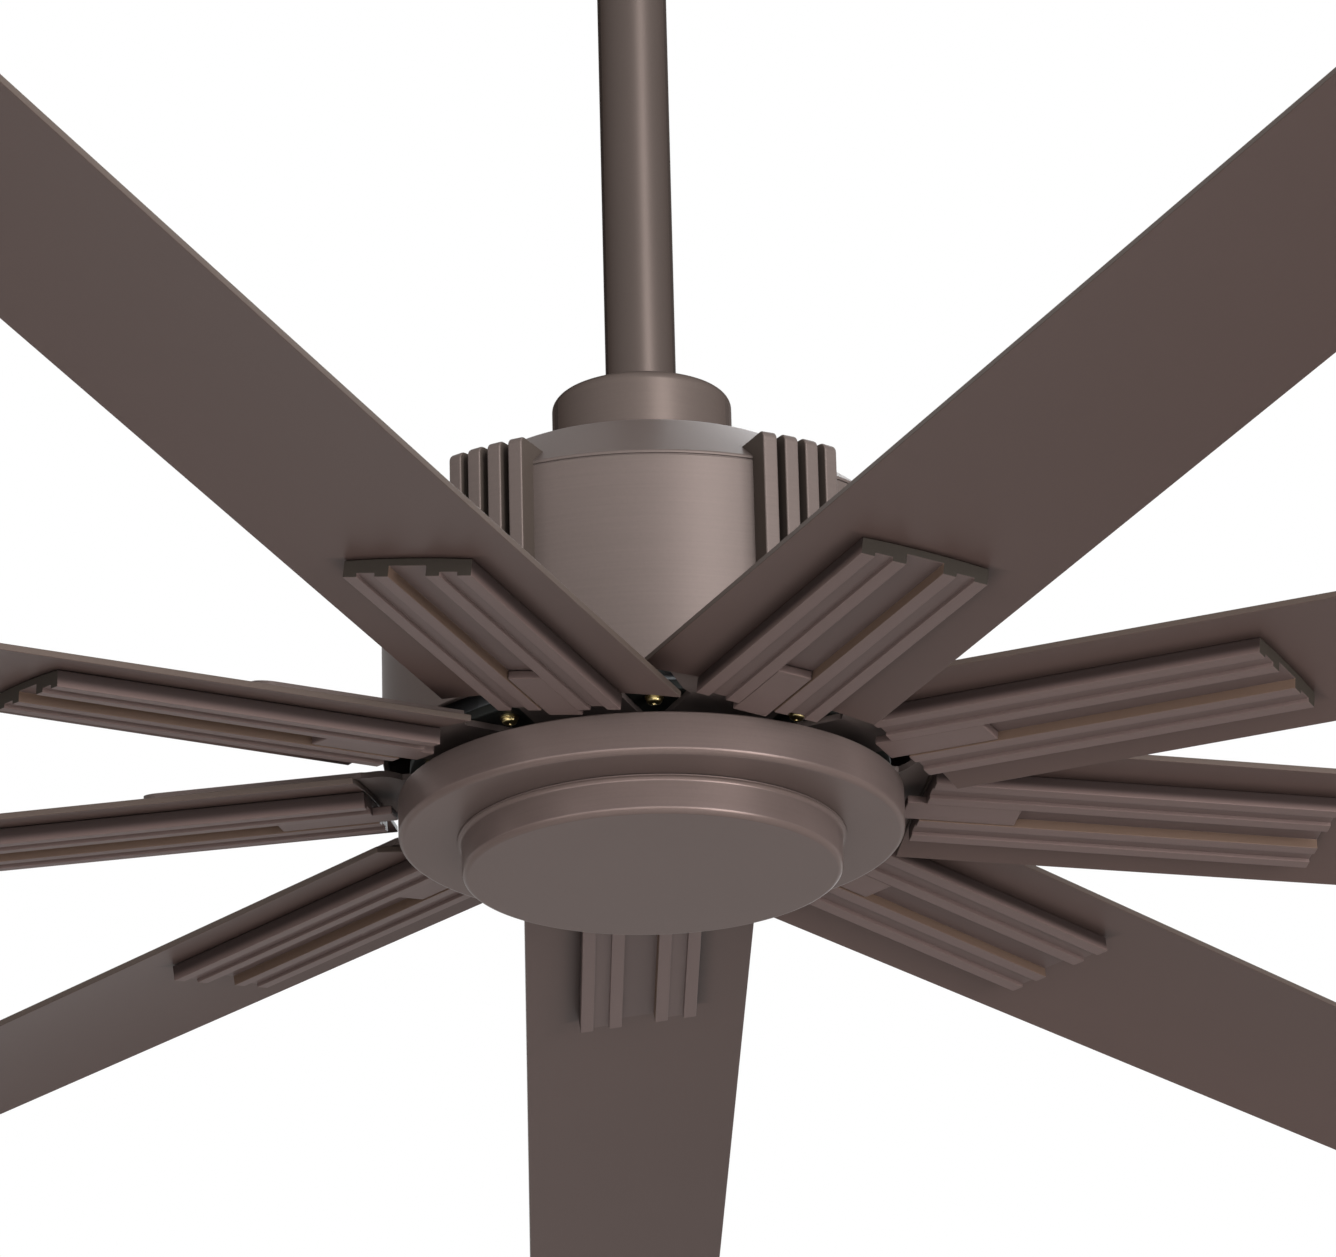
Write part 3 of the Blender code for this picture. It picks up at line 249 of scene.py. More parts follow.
@dataclass(frozen=True)
class Finish:
    """A surface finish: its colour, its gloss and its fine structure."""

    name: str
    colour: Colour
    roughness: float
    metallic: float
    pattern: Pattern
    grain: float
    tone_share: float = 0.06
    gloss_share: float = 0.05
    relief: float = 0.00001
    cloud: float = 0.16
    cloud_share: float = 0.05
    specular: float = 0.5
    rim_tint: float = 1.0
    # Painted shade along the blade's rails, and the share of light that it leaves where it is full.
    corners: PaintedShade = PaintedShade.NONE
    painted_shade_light: float = 0.5

    def material(self) -> bpy.types.Material:
        """Return the finish's material, made on first use.

        Returns:
            The material.
        """
        found = bpy.data.materials.get(self.name)
        if found:
            return found
        made = bpy.data.materials.new(self.name)
        made.use_nodes = True
        made.diffuse_color = (*self.colour, 1.0)
        graph = Graph(made.node_tree)
        texture = self._texture(graph)
        cloud = graph.noise(graph.place(), 1 / self.cloud, detail=2.0)
        tone = texture * self.tone_share + cloud * self.cloud_share
        reach = self.tone_share + self.cloud_share
        dark = [channel * (1 - reach) for channel in self.colour]
        light = [channel * (1 + reach) for channel in self.colour]
        colour = graph.blend(tone * (1 / reach), dark, light)
        # Painted shade along the blade's rails darkens the colour here.
        if self.corners is not PaintedShade.NONE:
            colour = graph.darkened(colour, self._painted_shade_share(graph))
        gloss = self.roughness - self.gloss_share / 2 + texture * self.gloss_share
        bump = graph.node("ShaderNodeBump", plugs={"Distance": self.relief, "Height": texture})
        plugs: dict[str | int, Plug] = {
            "Base Color": colour,
            "Roughness": gloss,
            "Metallic": self.metallic,
            "Specular IOR Level": self.specular,
            "Specular Tint": (self.rim_tint, self.rim_tint, self.rim_tint, 1.0),
            "Normal": bump,
        }
        shader = graph.node("ShaderNodeBsdfPrincipled", plugs=plugs)
        graph.node("ShaderNodeOutputMaterial", plugs={"Surface": shader})
        return made

    def _texture(self, graph: Graph) -> Reading:
        """Return the finish's fine structure as a value between 0 and 1.

        Args:
            graph: The finish's node graph.

        Returns:
            The texture's value.
        """
        makers: dict[Pattern, Callable[[Graph], Reading]] = {
            Pattern.SPRAYED: self._sprayed, Pattern.TURNED: self._turned, Pattern.DRAWN: self._drawn,
            Pattern.SPANGLED: self._spangled, Pattern.CAST: self._cast, Pattern.WOUND: self._wound,
        }
        return makers[self.pattern](graph)

    def _painted_shade_share(self, graph: Graph) -> Reading:
        """Return the share of light that the painted shade leaves, from its share in a corner to 1 in the open.

        Args:
            graph: The finish's node graph.

        Returns:
            The share of the paint's light.
        """
        along, across, rise = graph.parts(graph.attribute(BLADE_PLACE))
        # Painted shade: on the blade's underside beside the rails and past their ends, or on the rails' flanks and
        # web next to the blade.
        if self.corners is PaintedShade.BESIDE_RAILS:
            clear = graph.rise(across.size(), *BESIDE_RAIL).larger(graph.rise(along, *PAST_RAIL))
        else:
            web = 1 - graph.rise(across.size(), *WEB_EDGE)
            clear = (1 - graph.rise(rise, *OUTER_FLANK)).larger(web * WEB_LIGHT)
            inner = 1 - graph.rise(across.size(), *INNER_EDGE)
            clear = clear.larger(inner * (1 - graph.rise(rise, *INNER_FLANK)))
        return clear * (1 - self.painted_shade_light) + self.painted_shade_light

    def _sprayed(self, graph: Graph) -> Reading:
        """Orange peel with metal flakes in it.

        Args:
            graph: The finish's node graph.

        Returns:
            The texture's value.
        """
        peel = graph.noise(graph.place(), 1 / self.grain, detail=2.0)
        flakes = graph.noise(graph.place(), 6 / self.grain, detail=1.0)
        return graph.mixed(peel, flakes, 0.6)

    def _turned(self, graph: Graph) -> Reading:
        """Rings about the fan's axis, which fade and come back round the circle.

        Args:
            graph: The finish's node graph.

        Returns:
            The texture's value.
        """
        x, y, z = graph.parts(graph.place())
        radius = (x * x + y * y) ** 0.5
        rings = graph.vector(radius * (1 / self.grain), y.angle_to(x) * 2.0, z * (1 / self.grain))
        peel = graph.noise(graph.place(), 0.6 / self.grain, detail=2.0)
        return graph.mixed(graph.noise(rings, 1.0, detail=4.0), peel, 0.65)

    def _drawn(self, graph: Graph) -> Reading:
        """Lines that run along the blade, with the orange peel over them.

        Args:
            graph: The finish's node graph.

        Returns:
            The texture's value.
        """
        along, across, rise = graph.parts(graph.attribute(BLADE_PLACE))
        lines = graph.vector(along * (0.02 / self.grain), across * (1 / self.grain), rise * (0.2 / self.grain))
        peel = graph.noise(graph.attribute(BLADE_PLACE), 0.6 / self.grain, detail=2.0)
        return graph.mixed(graph.noise(lines, 1.0, detail=4.0), peel, 0.5)

    def _spangled(self, graph: Graph) -> Reading:
        """Flat crystals, each with its own tone.

        Args:
            graph: The finish's node graph.

        Returns:
            The texture's value.
        """
        plugs = {"Vector": graph.place(), "Scale": 1 / self.grain}
        crystals = graph.node("ShaderNodeTexVoronoi", {"feature": "F1"}, plugs, "Color")
        tone, _, _ = graph.parts(crystals)
        return graph.mixed(tone, graph.noise(graph.place(), 8 / self.grain), 0.8)

    def _cast(self, graph: Graph) -> Reading:
        """Coarse pits with a finer grain between them."""
        pits = graph.noise(graph.place(), 1 / self.grain, detail=5.0, roughness=0.65)
        return graph.mixed(pits, graph.noise(graph.place(), 5 / self.grain, detail=2.0), 0.7)

    def _wound(self, graph: Graph) -> Reading:
        """Wire laid side by side round each tooth.

        Args:
            graph: The finish's node graph.

        Returns:
            The texture's value.
        """
        settings = {"wave_type": "BANDS", "bands_direction": "Z", "wave_profile": "SIN"}
        plugs = {"Vector": graph.place(), "Scale": 0.32 / self.grain, "Distortion": 0.6}
        return graph.node("ShaderNodeTexWave", settings, plugs, "Fac")


BLADE_PLACE = "blade_place"

# Where the painted shade lies, in a blade's own axes: a pair is where the painted shade starts to change and where it
# ends.
BESIDE_RAIL = (0.0295, 0.0405)
PAST_RAIL = (0.324, 0.329)
WEB_EDGE = (0.0080, 0.0090)
WEB_LIGHT = 0.7
INNER_EDGE = (0.0265, 0.0285)
OUTER_FLANK = (-0.0084, -0.0040)
INNER_FLANK = (-0.0090, -0.0008)

BLADE_PAINT = Finish(
    "blade_bronze_paint", (0.088, 0.065, 0.058), 0.46, 0.10, Pattern.DRAWN, 0.0011,
    tone_share=0.05, cloud=0.22, specular=0.09, rim_tint=0.5,
)
# Blade underside: the blade's paint made darker than its top as painted shade, with more painted shade beside the
# rails.
UNDERSIDE_SHADED_PAINT = replace(
    BLADE_PAINT, name="underside_shaded_bronze_paint", colour=(0.077, 0.048, 0.041),
    corners=PaintedShade.BESIDE_RAILS, painted_shade_light=0.6,
)
PAN_PAINT = Finish(
    "pan_bronze_paint", (0.122, 0.086, 0.076), 0.37, 0.50, Pattern.TURNED, 0.0009,
    tone_share=0.12, specular=0.05, rim_tint=0.75,
)
# The pans' walls: the pan paint made lighter than on the flats, as painted light.
PAN_WALL_PAINTED_LIGHT = replace(PAN_PAINT, name="pan_wall_painted_light_bronze", colour=(0.142, 0.103, 0.092))
HOUSING_PAINT = Finish(
    "housing_bronze_paint", (0.108, 0.083, 0.074), 0.43, 0.30, Pattern.TURNED, 0.0010,
    tone_share=0.12, specular=0.05, rim_tint=0.36,
)
# The fins' flat sides: the housing paint made darker, as painted shade.
FIN_SIDE_PAINTED_SHADE = replace(HOUSING_PAINT, name="fin_side_painted_shade_bronze", colour=(0.070, 0.053, 0.044))
COVER_PAINT = Finish(
    "cover_bronze_paint", (0.093, 0.071, 0.062), 0.43, 0.43, Pattern.TURNED, 0.0010,
    tone_share=0.09, specular=0.0, rim_tint=0.2,
)
ROD_PAINT = Finish(
    "rod_bronze_paint", (0.073, 0.056, 0.049), 0.42, 0.56, Pattern.SPRAYED, 0.0012,
    tone_share=0.05, specular=0.0, rim_tint=0.2,
)
FIXING_PAINT = Finish(
    "fixing_bronze_paint", (0.096, 0.064, 0.060), 0.44, 0.15, Pattern.SPRAYED, 0.0009, specular=0.22
)
# Rail paint with painted shade on its flanks and web next to the blade; the clamp bars take it too.
RAIL_PAINT = Finish(
    "rail_bronze_paint", (0.114, 0.076, 0.068), 0.46, 0.10, Pattern.DRAWN, 0.0011,
    tone_share=0.06, cloud=0.22, specular=0.09, rim_tint=0.5, corners=PaintedShade.UNDER_BLADE, painted_shade_light=0.28,
)
# The blade's edge faces: painted darker, as painted shade.
EDGE_PAINTED_SHADE = Finish(
    "edge_painted_shade_bronze", (0.070, 0.050, 0.041), 0.48, 0.12, Pattern.SPRAYED, 0.0010, specular=0.12, rim_tint=0.6
)
# The groove's walls: a warm painted reflection.
GROOVE_PAINTED_REFLECTION = Finish(
    "groove_painted_reflection_bronze", (0.104, 0.064, 0.046), 0.48, 0.05, Pattern.SPRAYED, 0.0010, specular=0.10
)
# The rails' far ends: near black, as painted shade.
RAIL_END_PAINTED_SHADE = Finish(
    "rail_end_painted_shade", (0.030, 0.023, 0.018), 0.60, 0.0, Pattern.SPRAYED, 0.0010, relief=0.00002, specular=0.10
)
FLYWHEEL_BLACK = Finish(
    "flywheel_black", (0.012, 0.012, 0.010), 0.60, 0.0, Pattern.CAST, 0.0016, relief=0.00003, specular=0.25
)
BRASS = Finish("brass_plate", (0.56, 0.43, 0.20), 0.30, 1.0, Pattern.SPRAYED, 0.0008, relief=0.000005)
ZINC_STEEL = Finish("zinc_spangle", (0.42, 0.42, 0.43), 0.36, 1.0, Pattern.SPANGLED, 0.004, tone_share=0.22)
CAST_ALUMINIUM = Finish(
    "raw_casting", (0.34, 0.34, 0.35), 0.52, 1.0, Pattern.CAST, 0.0014, tone_share=0.18, relief=0.00004
)
BEARING_STEEL = Finish("ground_steel", (0.55, 0.56, 0.58), 0.24, 1.0, Pattern.TURNED, 0.0006, tone_share=0.12)
COPPER_WINDING = Finish("copper_turns", (0.48, 0.19, 0.08), 0.38, 0.9, Pattern.WOUND, 0.0012, relief=0.0002)
MAGNET_BLACK = Finish("magnet_black", (0.05, 0.05, 0.055), 0.50, 0.3, Pattern.CAST, 0.0010)
SEAT_NYLON = Finish("seat_nylon", (0.045, 0.045, 0.045), 0.55, 0.0, Pattern.SPRAYED, 0.0015, relief=0.00002)
CASE_PLASTIC = Finish("case_plastic", (0.028, 0.028, 0.028), 0.50, 0.0, Pattern.SPRAYED, 0.0010, relief=0.00002)


# Shapes

Element = bmesh.types.BMVert | bmesh.types.BMEdge | bmesh.types.BMFace


class Rounds(Enum):
    """What a rounding acts on."""

    CORNERS = "VERTICES"
    EDGES = "EDGES"


class Corner(NamedTuple):
    """A corner of a turned profile, and how far its rounding reaches along the lines that meet there."""

    radius: float
    height: float
    rounding: float = 0.0


class Shape:
    """A mesh in the making, shaped by bmesh operators."""

    def __init__(self) -> None:
        """Start empty."""
        self.bm = bmesh.new()

    @classmethod
    def turned(cls, corners: Sequence[Corner], steps: int = ROUND_STEPS, arc_steps: int = 5) -> "Shape":
        """Spin a profile about the Z axis.

        Args:
            corners: The profile. One that starts on the axis stays open there, any other is closed.
            steps: Faces round the circle.
            arc_steps: Faces across each rounded corner.

        Returns:
            The closed solid of revolution.
        """
        shape = cls()
        points = [shape.bm.verts.new((corner.radius, 0, corner.height)) for corner in corners]
        for pair in zip(points, points[1:]):
            shape.bm.edges.new(pair)
        if corners[0].radius > 0:
            shape.bm.edges.new((points[-1], points[0]))
        for corner, point in zip(corners, points):
            if corner.rounding > 0:
                shape.rounded([point], corner.rounding, arc_steps)
        return shape.spun(steps)

    @classmethod
    def tube(
        cls, bore: float, radius: float, foot: float, top: float, foot_rounding: float = 0.0,
        top_rounding: float = 0.0, steps: int = SMALL_ROUND_STEPS, arc_steps: int = 5,
    ) -> "Shape":
        """Spin a tube with rounded edges, or a stud where the bore is 0.

        Args:
            bore: Radius of the hole.
            radius: Outer radius.
            foot: Height of the lower end.
            top: Height of the upper end.
            foot_rounding: Reach of the rounding at the foot.
            top_rounding: Reach of the rounding at the top.
            steps: Faces round the circle.
            arc_steps: Faces across each rounded edge.

        Returns:
            The tube.
        """
        corners = [
            Corner(bore, foot, foot_rounding if bore else 0.0),
            Corner(radius, foot, foot_rounding),
            Corner(radius, top, top_rounding),
            Corner(bore, top, top_rounding if bore else 0.0),
        ]
        return cls.turned(corners, steps, arc_steps)

    @classmethod
    def cup(
        cls, lip: Corner, base: Corner, eye: Corner, wall: float, steps: int = ROUND_STEPS, arc_steps: int = 5
    ) -> "Shape":
        """Spin a cup with an eye in its base.

        Args:
            lip: The outer corner at its open end.
            base: The outer corner at its closed end.
            eye: The outer corner of the eye.
            wall: Its thickness.
            steps: Faces round the circle.
            arc_steps: Faces across each rounded corner.

        Returns:
            The cup.
        """
        inner = base.height + math.copysign(wall, lip.height - base.height)
        corners = [
            eye,
            base,
            lip,
            Corner(lip.radius - wall, lip.height, lip.rounding),
            Corner(base.radius - wall, inner, max(base.rounding - wall, 0.0)),
            Corner(eye.radius, inner, eye.rounding),
        ]
        return cls.turned(corners, steps, arc_steps)

    @classmethod
    def band(cls, radius: float, middle: float, low: float, high: float) -> "Shape":
        """Make the part of a sphere on the Z axis between two heights, open above and below.

        Args:
            radius: The sphere's radius.
            middle: Height of its centre.
            low: Height of the lower cut.
            high: Height of the upper cut.

        Returns:
            The band.
        """
        shape = cls()
        bmesh.ops.create_uvsphere(
            shape.bm, u_segments=ROUND_STEPS // 2, v_segments=ROUND_STEPS // 4, radius=radius,
            matrix=Matrix.Translation((0, 0, middle)),
        )
        for height, side in ((high, 1.0), (low, -1.0)):
            bmesh.ops.bisect_plane(
                shape.bm, geom=shape.everything(), plane_co=(0, 0, height), plane_no=(0, 0, side), clear_outer=True
            )
        return shape.outward()

    @classmethod
    def cylinder(cls, radius: float, foot: float, top: float, sides: int = SMALL_ROUND_STEPS) -> "Shape":
        """Make a capped cylinder or prism on the Z axis.

        Args:
            radius: Its radius, out to the corners of a prism.
            foot: Height of the lower end.
            top: Height of the upper end.
            sides: Faces round it.

        Returns:
            The cylinder.
        """
        shape = cls()
        middle = Matrix.Translation((0, 0, (foot + top) / 2))
        sizes = {"radius1": radius, "radius2": radius, "depth": top - foot}
        bmesh.ops.create_cone(shape.bm, cap_ends=True, segments=sides, matrix=middle, **sizes)
        return shape

    @classmethod
    def block(cls, low: Sequence[float], high: Sequence[float]) -> "Shape":
        """Make a box between two corners.

        Args:
            low: The corner with the smallest X, Y and Z.
            high: The corner with the largest.

        Returns:
            The box.
        """
        shape = cls()
        size = Vector(high) - Vector(low)
        middle = Matrix.Translation((Vector(high) + Vector(low)) / 2)
        bmesh.ops.create_cube(shape.bm, size=1.0, matrix=middle @ Matrix.Diagonal((*size, 1.0)))
        return shape

    @classmethod
    def sheet(cls, outline: Sequence[Sequence[float]]) -> "Shape":
        """Make one flat face from its corners.

        Args:
            outline: The corners, in order.

        Returns:
            The sheet.
        """
        shape = cls()
        shape.bm.faces.new([shape.bm.verts.new(point) for point in outline])
        return shape

    def everything(self) -> list[Element]:
        """Return all vertices, edges and faces."""
        return [*self.bm.verts, *self.bm.edges, *self.bm.faces]

    def outward(self) -> "Shape":
        """Turn every face outwards."""
        bmesh.ops.recalc_face_normals(self.bm, faces=self.bm.faces)
        return self

    def spun(self, steps: int) -> "Shape":
        """Spin lines about the Z axis into a closed surface.

        Args:
            steps: Faces round the circle.

        Returns:
            This shape.
        """
        bmesh.ops.spin(
            self.bm, geom=self.everything(), cent=(0, 0, 0), axis=(0, 0, 1), angle=math.tau, steps=steps,
            use_merge=True,
        )
        bmesh.ops.remove_doubles(self.bm, verts=self.bm.verts, dist=WELD)
        return self.outward()

    def extruded(self, travel: Sequence[float]) -> "Shape":
        """Push a flat sheet along a straight line into a closed bar.

        Args:
            travel: The way that the sheet is pushed.

        Returns:
            This shape.
        """
        grown = bmesh.ops.extrude_face_region(self.bm, geom=self.bm.faces[:])
        moved = [item for item in grown["geom"] if isinstance(item, bmesh.types.BMVert)]
        bmesh.ops.translate(self.bm, verts=moved, vec=travel)
        return self.outward()

    def divided(self, axis: int, places: Sequence[float]) -> "Shape":
        """Cut the faces along planes square to an axis, so that they can bend there.

        Args:
            axis: The axis, 0 for X and 1 for Y.
            places: Where on the axis the planes stand.

        Returns:
            This shape.
        """
        normal = Vector([1.0 if index == axis else 0.0 for index in range(3)])
        for distance in places:
            bmesh.ops.bisect_plane(self.bm, geom=self.everything(), plane_co=normal * distance, plane_no=normal)
        return self

    def rounded(self, items: list[Element], reach: float, arc_steps: int, kind: Rounds = Rounds.CORNERS) -> "Shape":
        """Round chosen corners or edges.

        Args:
            items: The vertices or edges.
            reach: How far the rounding reaches.
            arc_steps: Faces across it.
            kind: Which of the two they are.

        Returns:
            This shape.
        """
        bmesh.ops.bevel(
            self.bm, geom=items, offset=reach, offset_type="OFFSET", segments=arc_steps, profile=0.5,
            affect=kind.value, material=-1, clamp_overlap=kind is Rounds.EDGES,
        )
        return self

    def edges_rounded(self, reach: float, arc_steps: int = 3, sharper: float = HARD_EDGE) -> "Shape":
        """Round every edge that is sharper than an angle."""
        hard = [edge for edge in self.bm.edges if edge.is_manifold and edge.calc_face_angle(0.0) > sharper]
        return self.rounded(hard, reach, arc_steps, Rounds.EDGES)

    def bent(self, rule: Callable[[Vector], Vector]) -> "Shape":
        """Move every point by a rule.

        Args:
            rule: Gives each point its new place.

        Returns:
            This shape.
        """
        for point in self.bm.verts:
            point.co = rule(point.co)
        return self

    def thickened(self, thickness: float) -> "Shape":
        """Give a sheet a wall on the side away from its normals."""
        bmesh.ops.solidify(self.bm, geom=self.bm.faces[:], thickness=thickness)
        return self.outward()

    def moved(self, matrix: Matrix) -> "Shape":
        """Put the shape in its place."""
        bmesh.ops.transform(self.bm, matrix=matrix, verts=self.bm.verts)
        return self

    def joined(self, other: "Shape") -> "Shape":
        """Take in another shape, which is used up.

        Args:
            other: The shape that is taken in.

        Returns:
            This shape.
        """
        mesh = bpy.data.meshes.new("spare")
        other.bm.to_mesh(mesh)
        other.bm.free()
        self.bm.from_mesh(mesh)
        bpy.data.meshes.remove(mesh)
        return self

    def without(self, other: "Shape") -> "Shape":
        """Cut out another shape, which is used up, with a Boolean that is applied at once.

        Args:
            other: The shape that is cut out.

        Returns:
            This shape.
        """
        body = placed("spare_body", self.mesh("spare_body"))
        knife = placed("spare_knife", other.mesh("spare_knife"))
        cut = body.modifiers.new("cut", "BOOLEAN")
        cut.operation = "DIFFERENCE"
        cut.solver = "EXACT"
        cut.object = knife
        bpy.context.view_layer.update()
        result = bpy.data.meshes.new_from_object(body.evaluated_get(bpy.context.evaluated_depsgraph_get()))
        self.bm = bmesh.new()
        self.bm.from_mesh(result)
        spares = (body.data, knife.data, result)
        for item in (body, knife):
            bpy.data.objects.remove(item)
        for mesh in spares:
            bpy.data.meshes.remove(mesh)
        return self

    def copied(self) -> "Shape":
        """Return a second shape like this one.

        Returns:
            The copy.
        """
        twin = Shape()
        twin.bm.free()
        twin.bm = self.bm.copy()
        return twin

    def mapped(self, layer_name: str) -> "Shape":
        """Write each point's present place into an attribute that textures follow.

        Args:
            layer_name: The attribute's name.

        Returns:
            This shape.
        """
        layer = self.bm.verts.layers.float_vector.new(layer_name)
        for point in self.bm.verts:
            point[layer] = point.co
        return self

    def painted(self, slot: int, test: Callable[[bmesh.types.BMFace], bool]) -> "Shape":
        """Give the faces that pass a test another material slot.

        Args:
            slot: The number of the material slot.
            test: Tells whether a face takes it.

        Returns:
            This shape.
        """
        for face in self.bm.faces:
            if test(face):
                face.material_index = slot
        return self

    def mesh(self, name: str) -> bpy.types.Mesh:
        """Finish the shape as a smooth mesh with its sharp edges marked; the shape is used up.

        Args:
            name: The mesh's name.

        Returns:
            The mesh.
        """
        mesh = bpy.data.meshes.new(name)
        self.bm.to_mesh(mesh)
        self.bm.free()
        mesh.shade_smooth()
        mesh.set_sharp_from_angle(angle=SMOOTH_ANGLE)
        return mesh


# Sub-assemblies


@dataclass
class Assembly:
    """A group of pieces that ride on the frame together."""

    body: str

    def fit(
        self, mesh: bpy.types.Mesh, finishes: Sequence[Finish], slot: str | None = None,
        instead_of: Sequence[str] = (), body: str | None = None,
    ) -> bpy.types.Object:
        """Make a piece of a mesh, dress it and hang it on its body.

        Args:
            mesh: The finished mesh, already in place; the piece takes its name.
            finishes: One finish for each of its material slots.
            slot: The record's material slot for the piece; not used.
            instead_of: The CAD nodes that the piece stands for.
            body: The body that it rides on, when it isn't the assembly's own.

        Returns:
            The piece.
        """
        piece = placed(mesh.name, mesh)
        for finish in finishes:
            mesh.materials.append(finish.material())
        even = piece.modifiers.new("even_normals", "WEIGHTED_NORMAL")
        even.keep_sharp = True
        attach(piece, body or self.body)
        if instead_of:
            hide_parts(*instead_of)
        log.info("%s on %s, %d faces", piece.name, body or self.body, len(mesh.polygons))
        return piece

    @staticmethod
    def dress(node: str, finish: Finish) -> None:
        """Give a CAD node that stays its finish.

        Args:
            node: The node's name.
            finish: Its finish.
        """
        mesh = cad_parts[node].data
        mesh.materials.clear()
        mesh.materials.append(finish.material())
        log.info("%s keeps its CAD mesh", node)


@dataclass
class CeilingSet(Assembly):
    """Bracket, canopy, its two thumb screws, and the ball joint inside."""

    body: str = "mount"
    canopy_wall: float = 0.0018
    canopy_shoulder: float = 0.026
    mouth_radius: float = 0.0321
    lip_rounding: float = 0.0007
    knurls: int = 36
    knurl_depth: float = 0.0004
    flattest_side: float = 0.5
    shank_radius: float = 0.0022
    shank_rounding: float = 0.0005
    shank_lap: float = 0.001
    ring_share: float = 0.62
    ring_eye_share: float = 0.7
    ring_depth: float = 0.00045
    ring_rounding: float = 0.0001
    ball_radius: float = 0.033
    ball_rounding: float = 0.0008
    seat_wall: float = 0.0025

    def build(self) -> None:
        """Make every piece of the set."""
        self.canopy()
        self.thumb_screw("canopy_screw_front")
        self.thumb_screw("canopy_screw_rear")
        self.ball()
        self.seat()
        self.dress("ceiling_bracket", ZINC_STEEL)
        self.dress("ball_pin", BEARING_STEEL)

    def canopy(self) -> None:
        """Spun cup with a wide soft shoulder and a rounded mouth."""
        low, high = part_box("canopy")
        lip = Corner(high.x, high.z, self.lip_rounding)
        shoulder = Corner(high.x, low.z, self.canopy_shoulder)
        mouth = Corner(self.mouth_radius, low.z, self.lip_rounding)
        mesh = Shape.cup(lip, shoulder, mouth, self.canopy_wall, arc_steps=10).mesh("canopy_cup")
        self.fit(mesh, [COVER_PAINT], "bronze_steel", ["canopy"])

    def thumb_screw(self, node: str) -> None:
        """Screw with a knurled head, square to the canopy's wall.

        Args:
            node: The screw's CAD node.
        """
        low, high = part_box(node)
        side = 1.0 if high.y > 0 else -1.0
        inner, outer = sorted((abs(low.y), abs(high.y)))
        head_radius = (high.x - low.x) / 2
        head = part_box("canopy")[1].x + CLEARANCE
        shape = Shape.cylinder(head_radius, head, outer, self.knurls)
        sides = [face for face in shape.bm.faces if abs(face.normal.z) < self.flattest_side]
        bmesh.ops.inset_individual(
            shape.bm, faces=sides, thickness=self.knurl_depth / 2, depth=-self.knurl_depth, use_even_offset=True
        )
        shape.edges_rounded(self.knurl_depth / 3, 1)
        shape.joined(Shape.tube(0, self.shank_radius, inner, head + self.shank_lap, self.shank_rounding))
        rim = head_radius * self.ring_share
        eye = rim * self.ring_eye_share
        ring = Shape.tube(eye, rim, outer - self.ring_depth, outer, 0.0, self.ring_rounding, arc_steps=2)
        shape.joined(ring)
        shape.moved(aimed("X", -side * QUARTER, z=(low.z + high.z) / 2))
        self.fit(shape.mesh(node + "_head"), [FIXING_PAINT], "bronze_steel", [node])

    @property
    def ball_middle(self) -> float:
        """Height of the pin through the ball's middle."""
        low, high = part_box("ball_pin")
        return (low.z + high.z) / 2

    def ball(self) -> None:
        """Hanger ball, cut flat above and below."""
        low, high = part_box("hanger_ball")
        shape = Shape.band(self.ball_radius, self.ball_middle, low.z, high.z)
        bmesh.ops.holes_fill(shape.bm, edges=[edge for edge in shape.bm.edges if edge.is_boundary])
        mesh = shape.outward().edges_rounded(self.ball_rounding).mesh("hanger_ball_round")
        self.fit(mesh, [ZINC_STEEL], "zinc_steel", ["hanger_ball"], "stem")

    def seat(self) -> None:
        """Nylon liner under the ball, a band of a larger sphere."""
        low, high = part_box("ball_seat")
        shape = Shape.band(high.x, self.ball_middle, low.z, high.z).thickened(self.seat_wall)
        self.fit(shape.mesh("ball_seat_liner"), [SEAT_NYLON], "seat_nylon", ["ball_seat"], "seat")


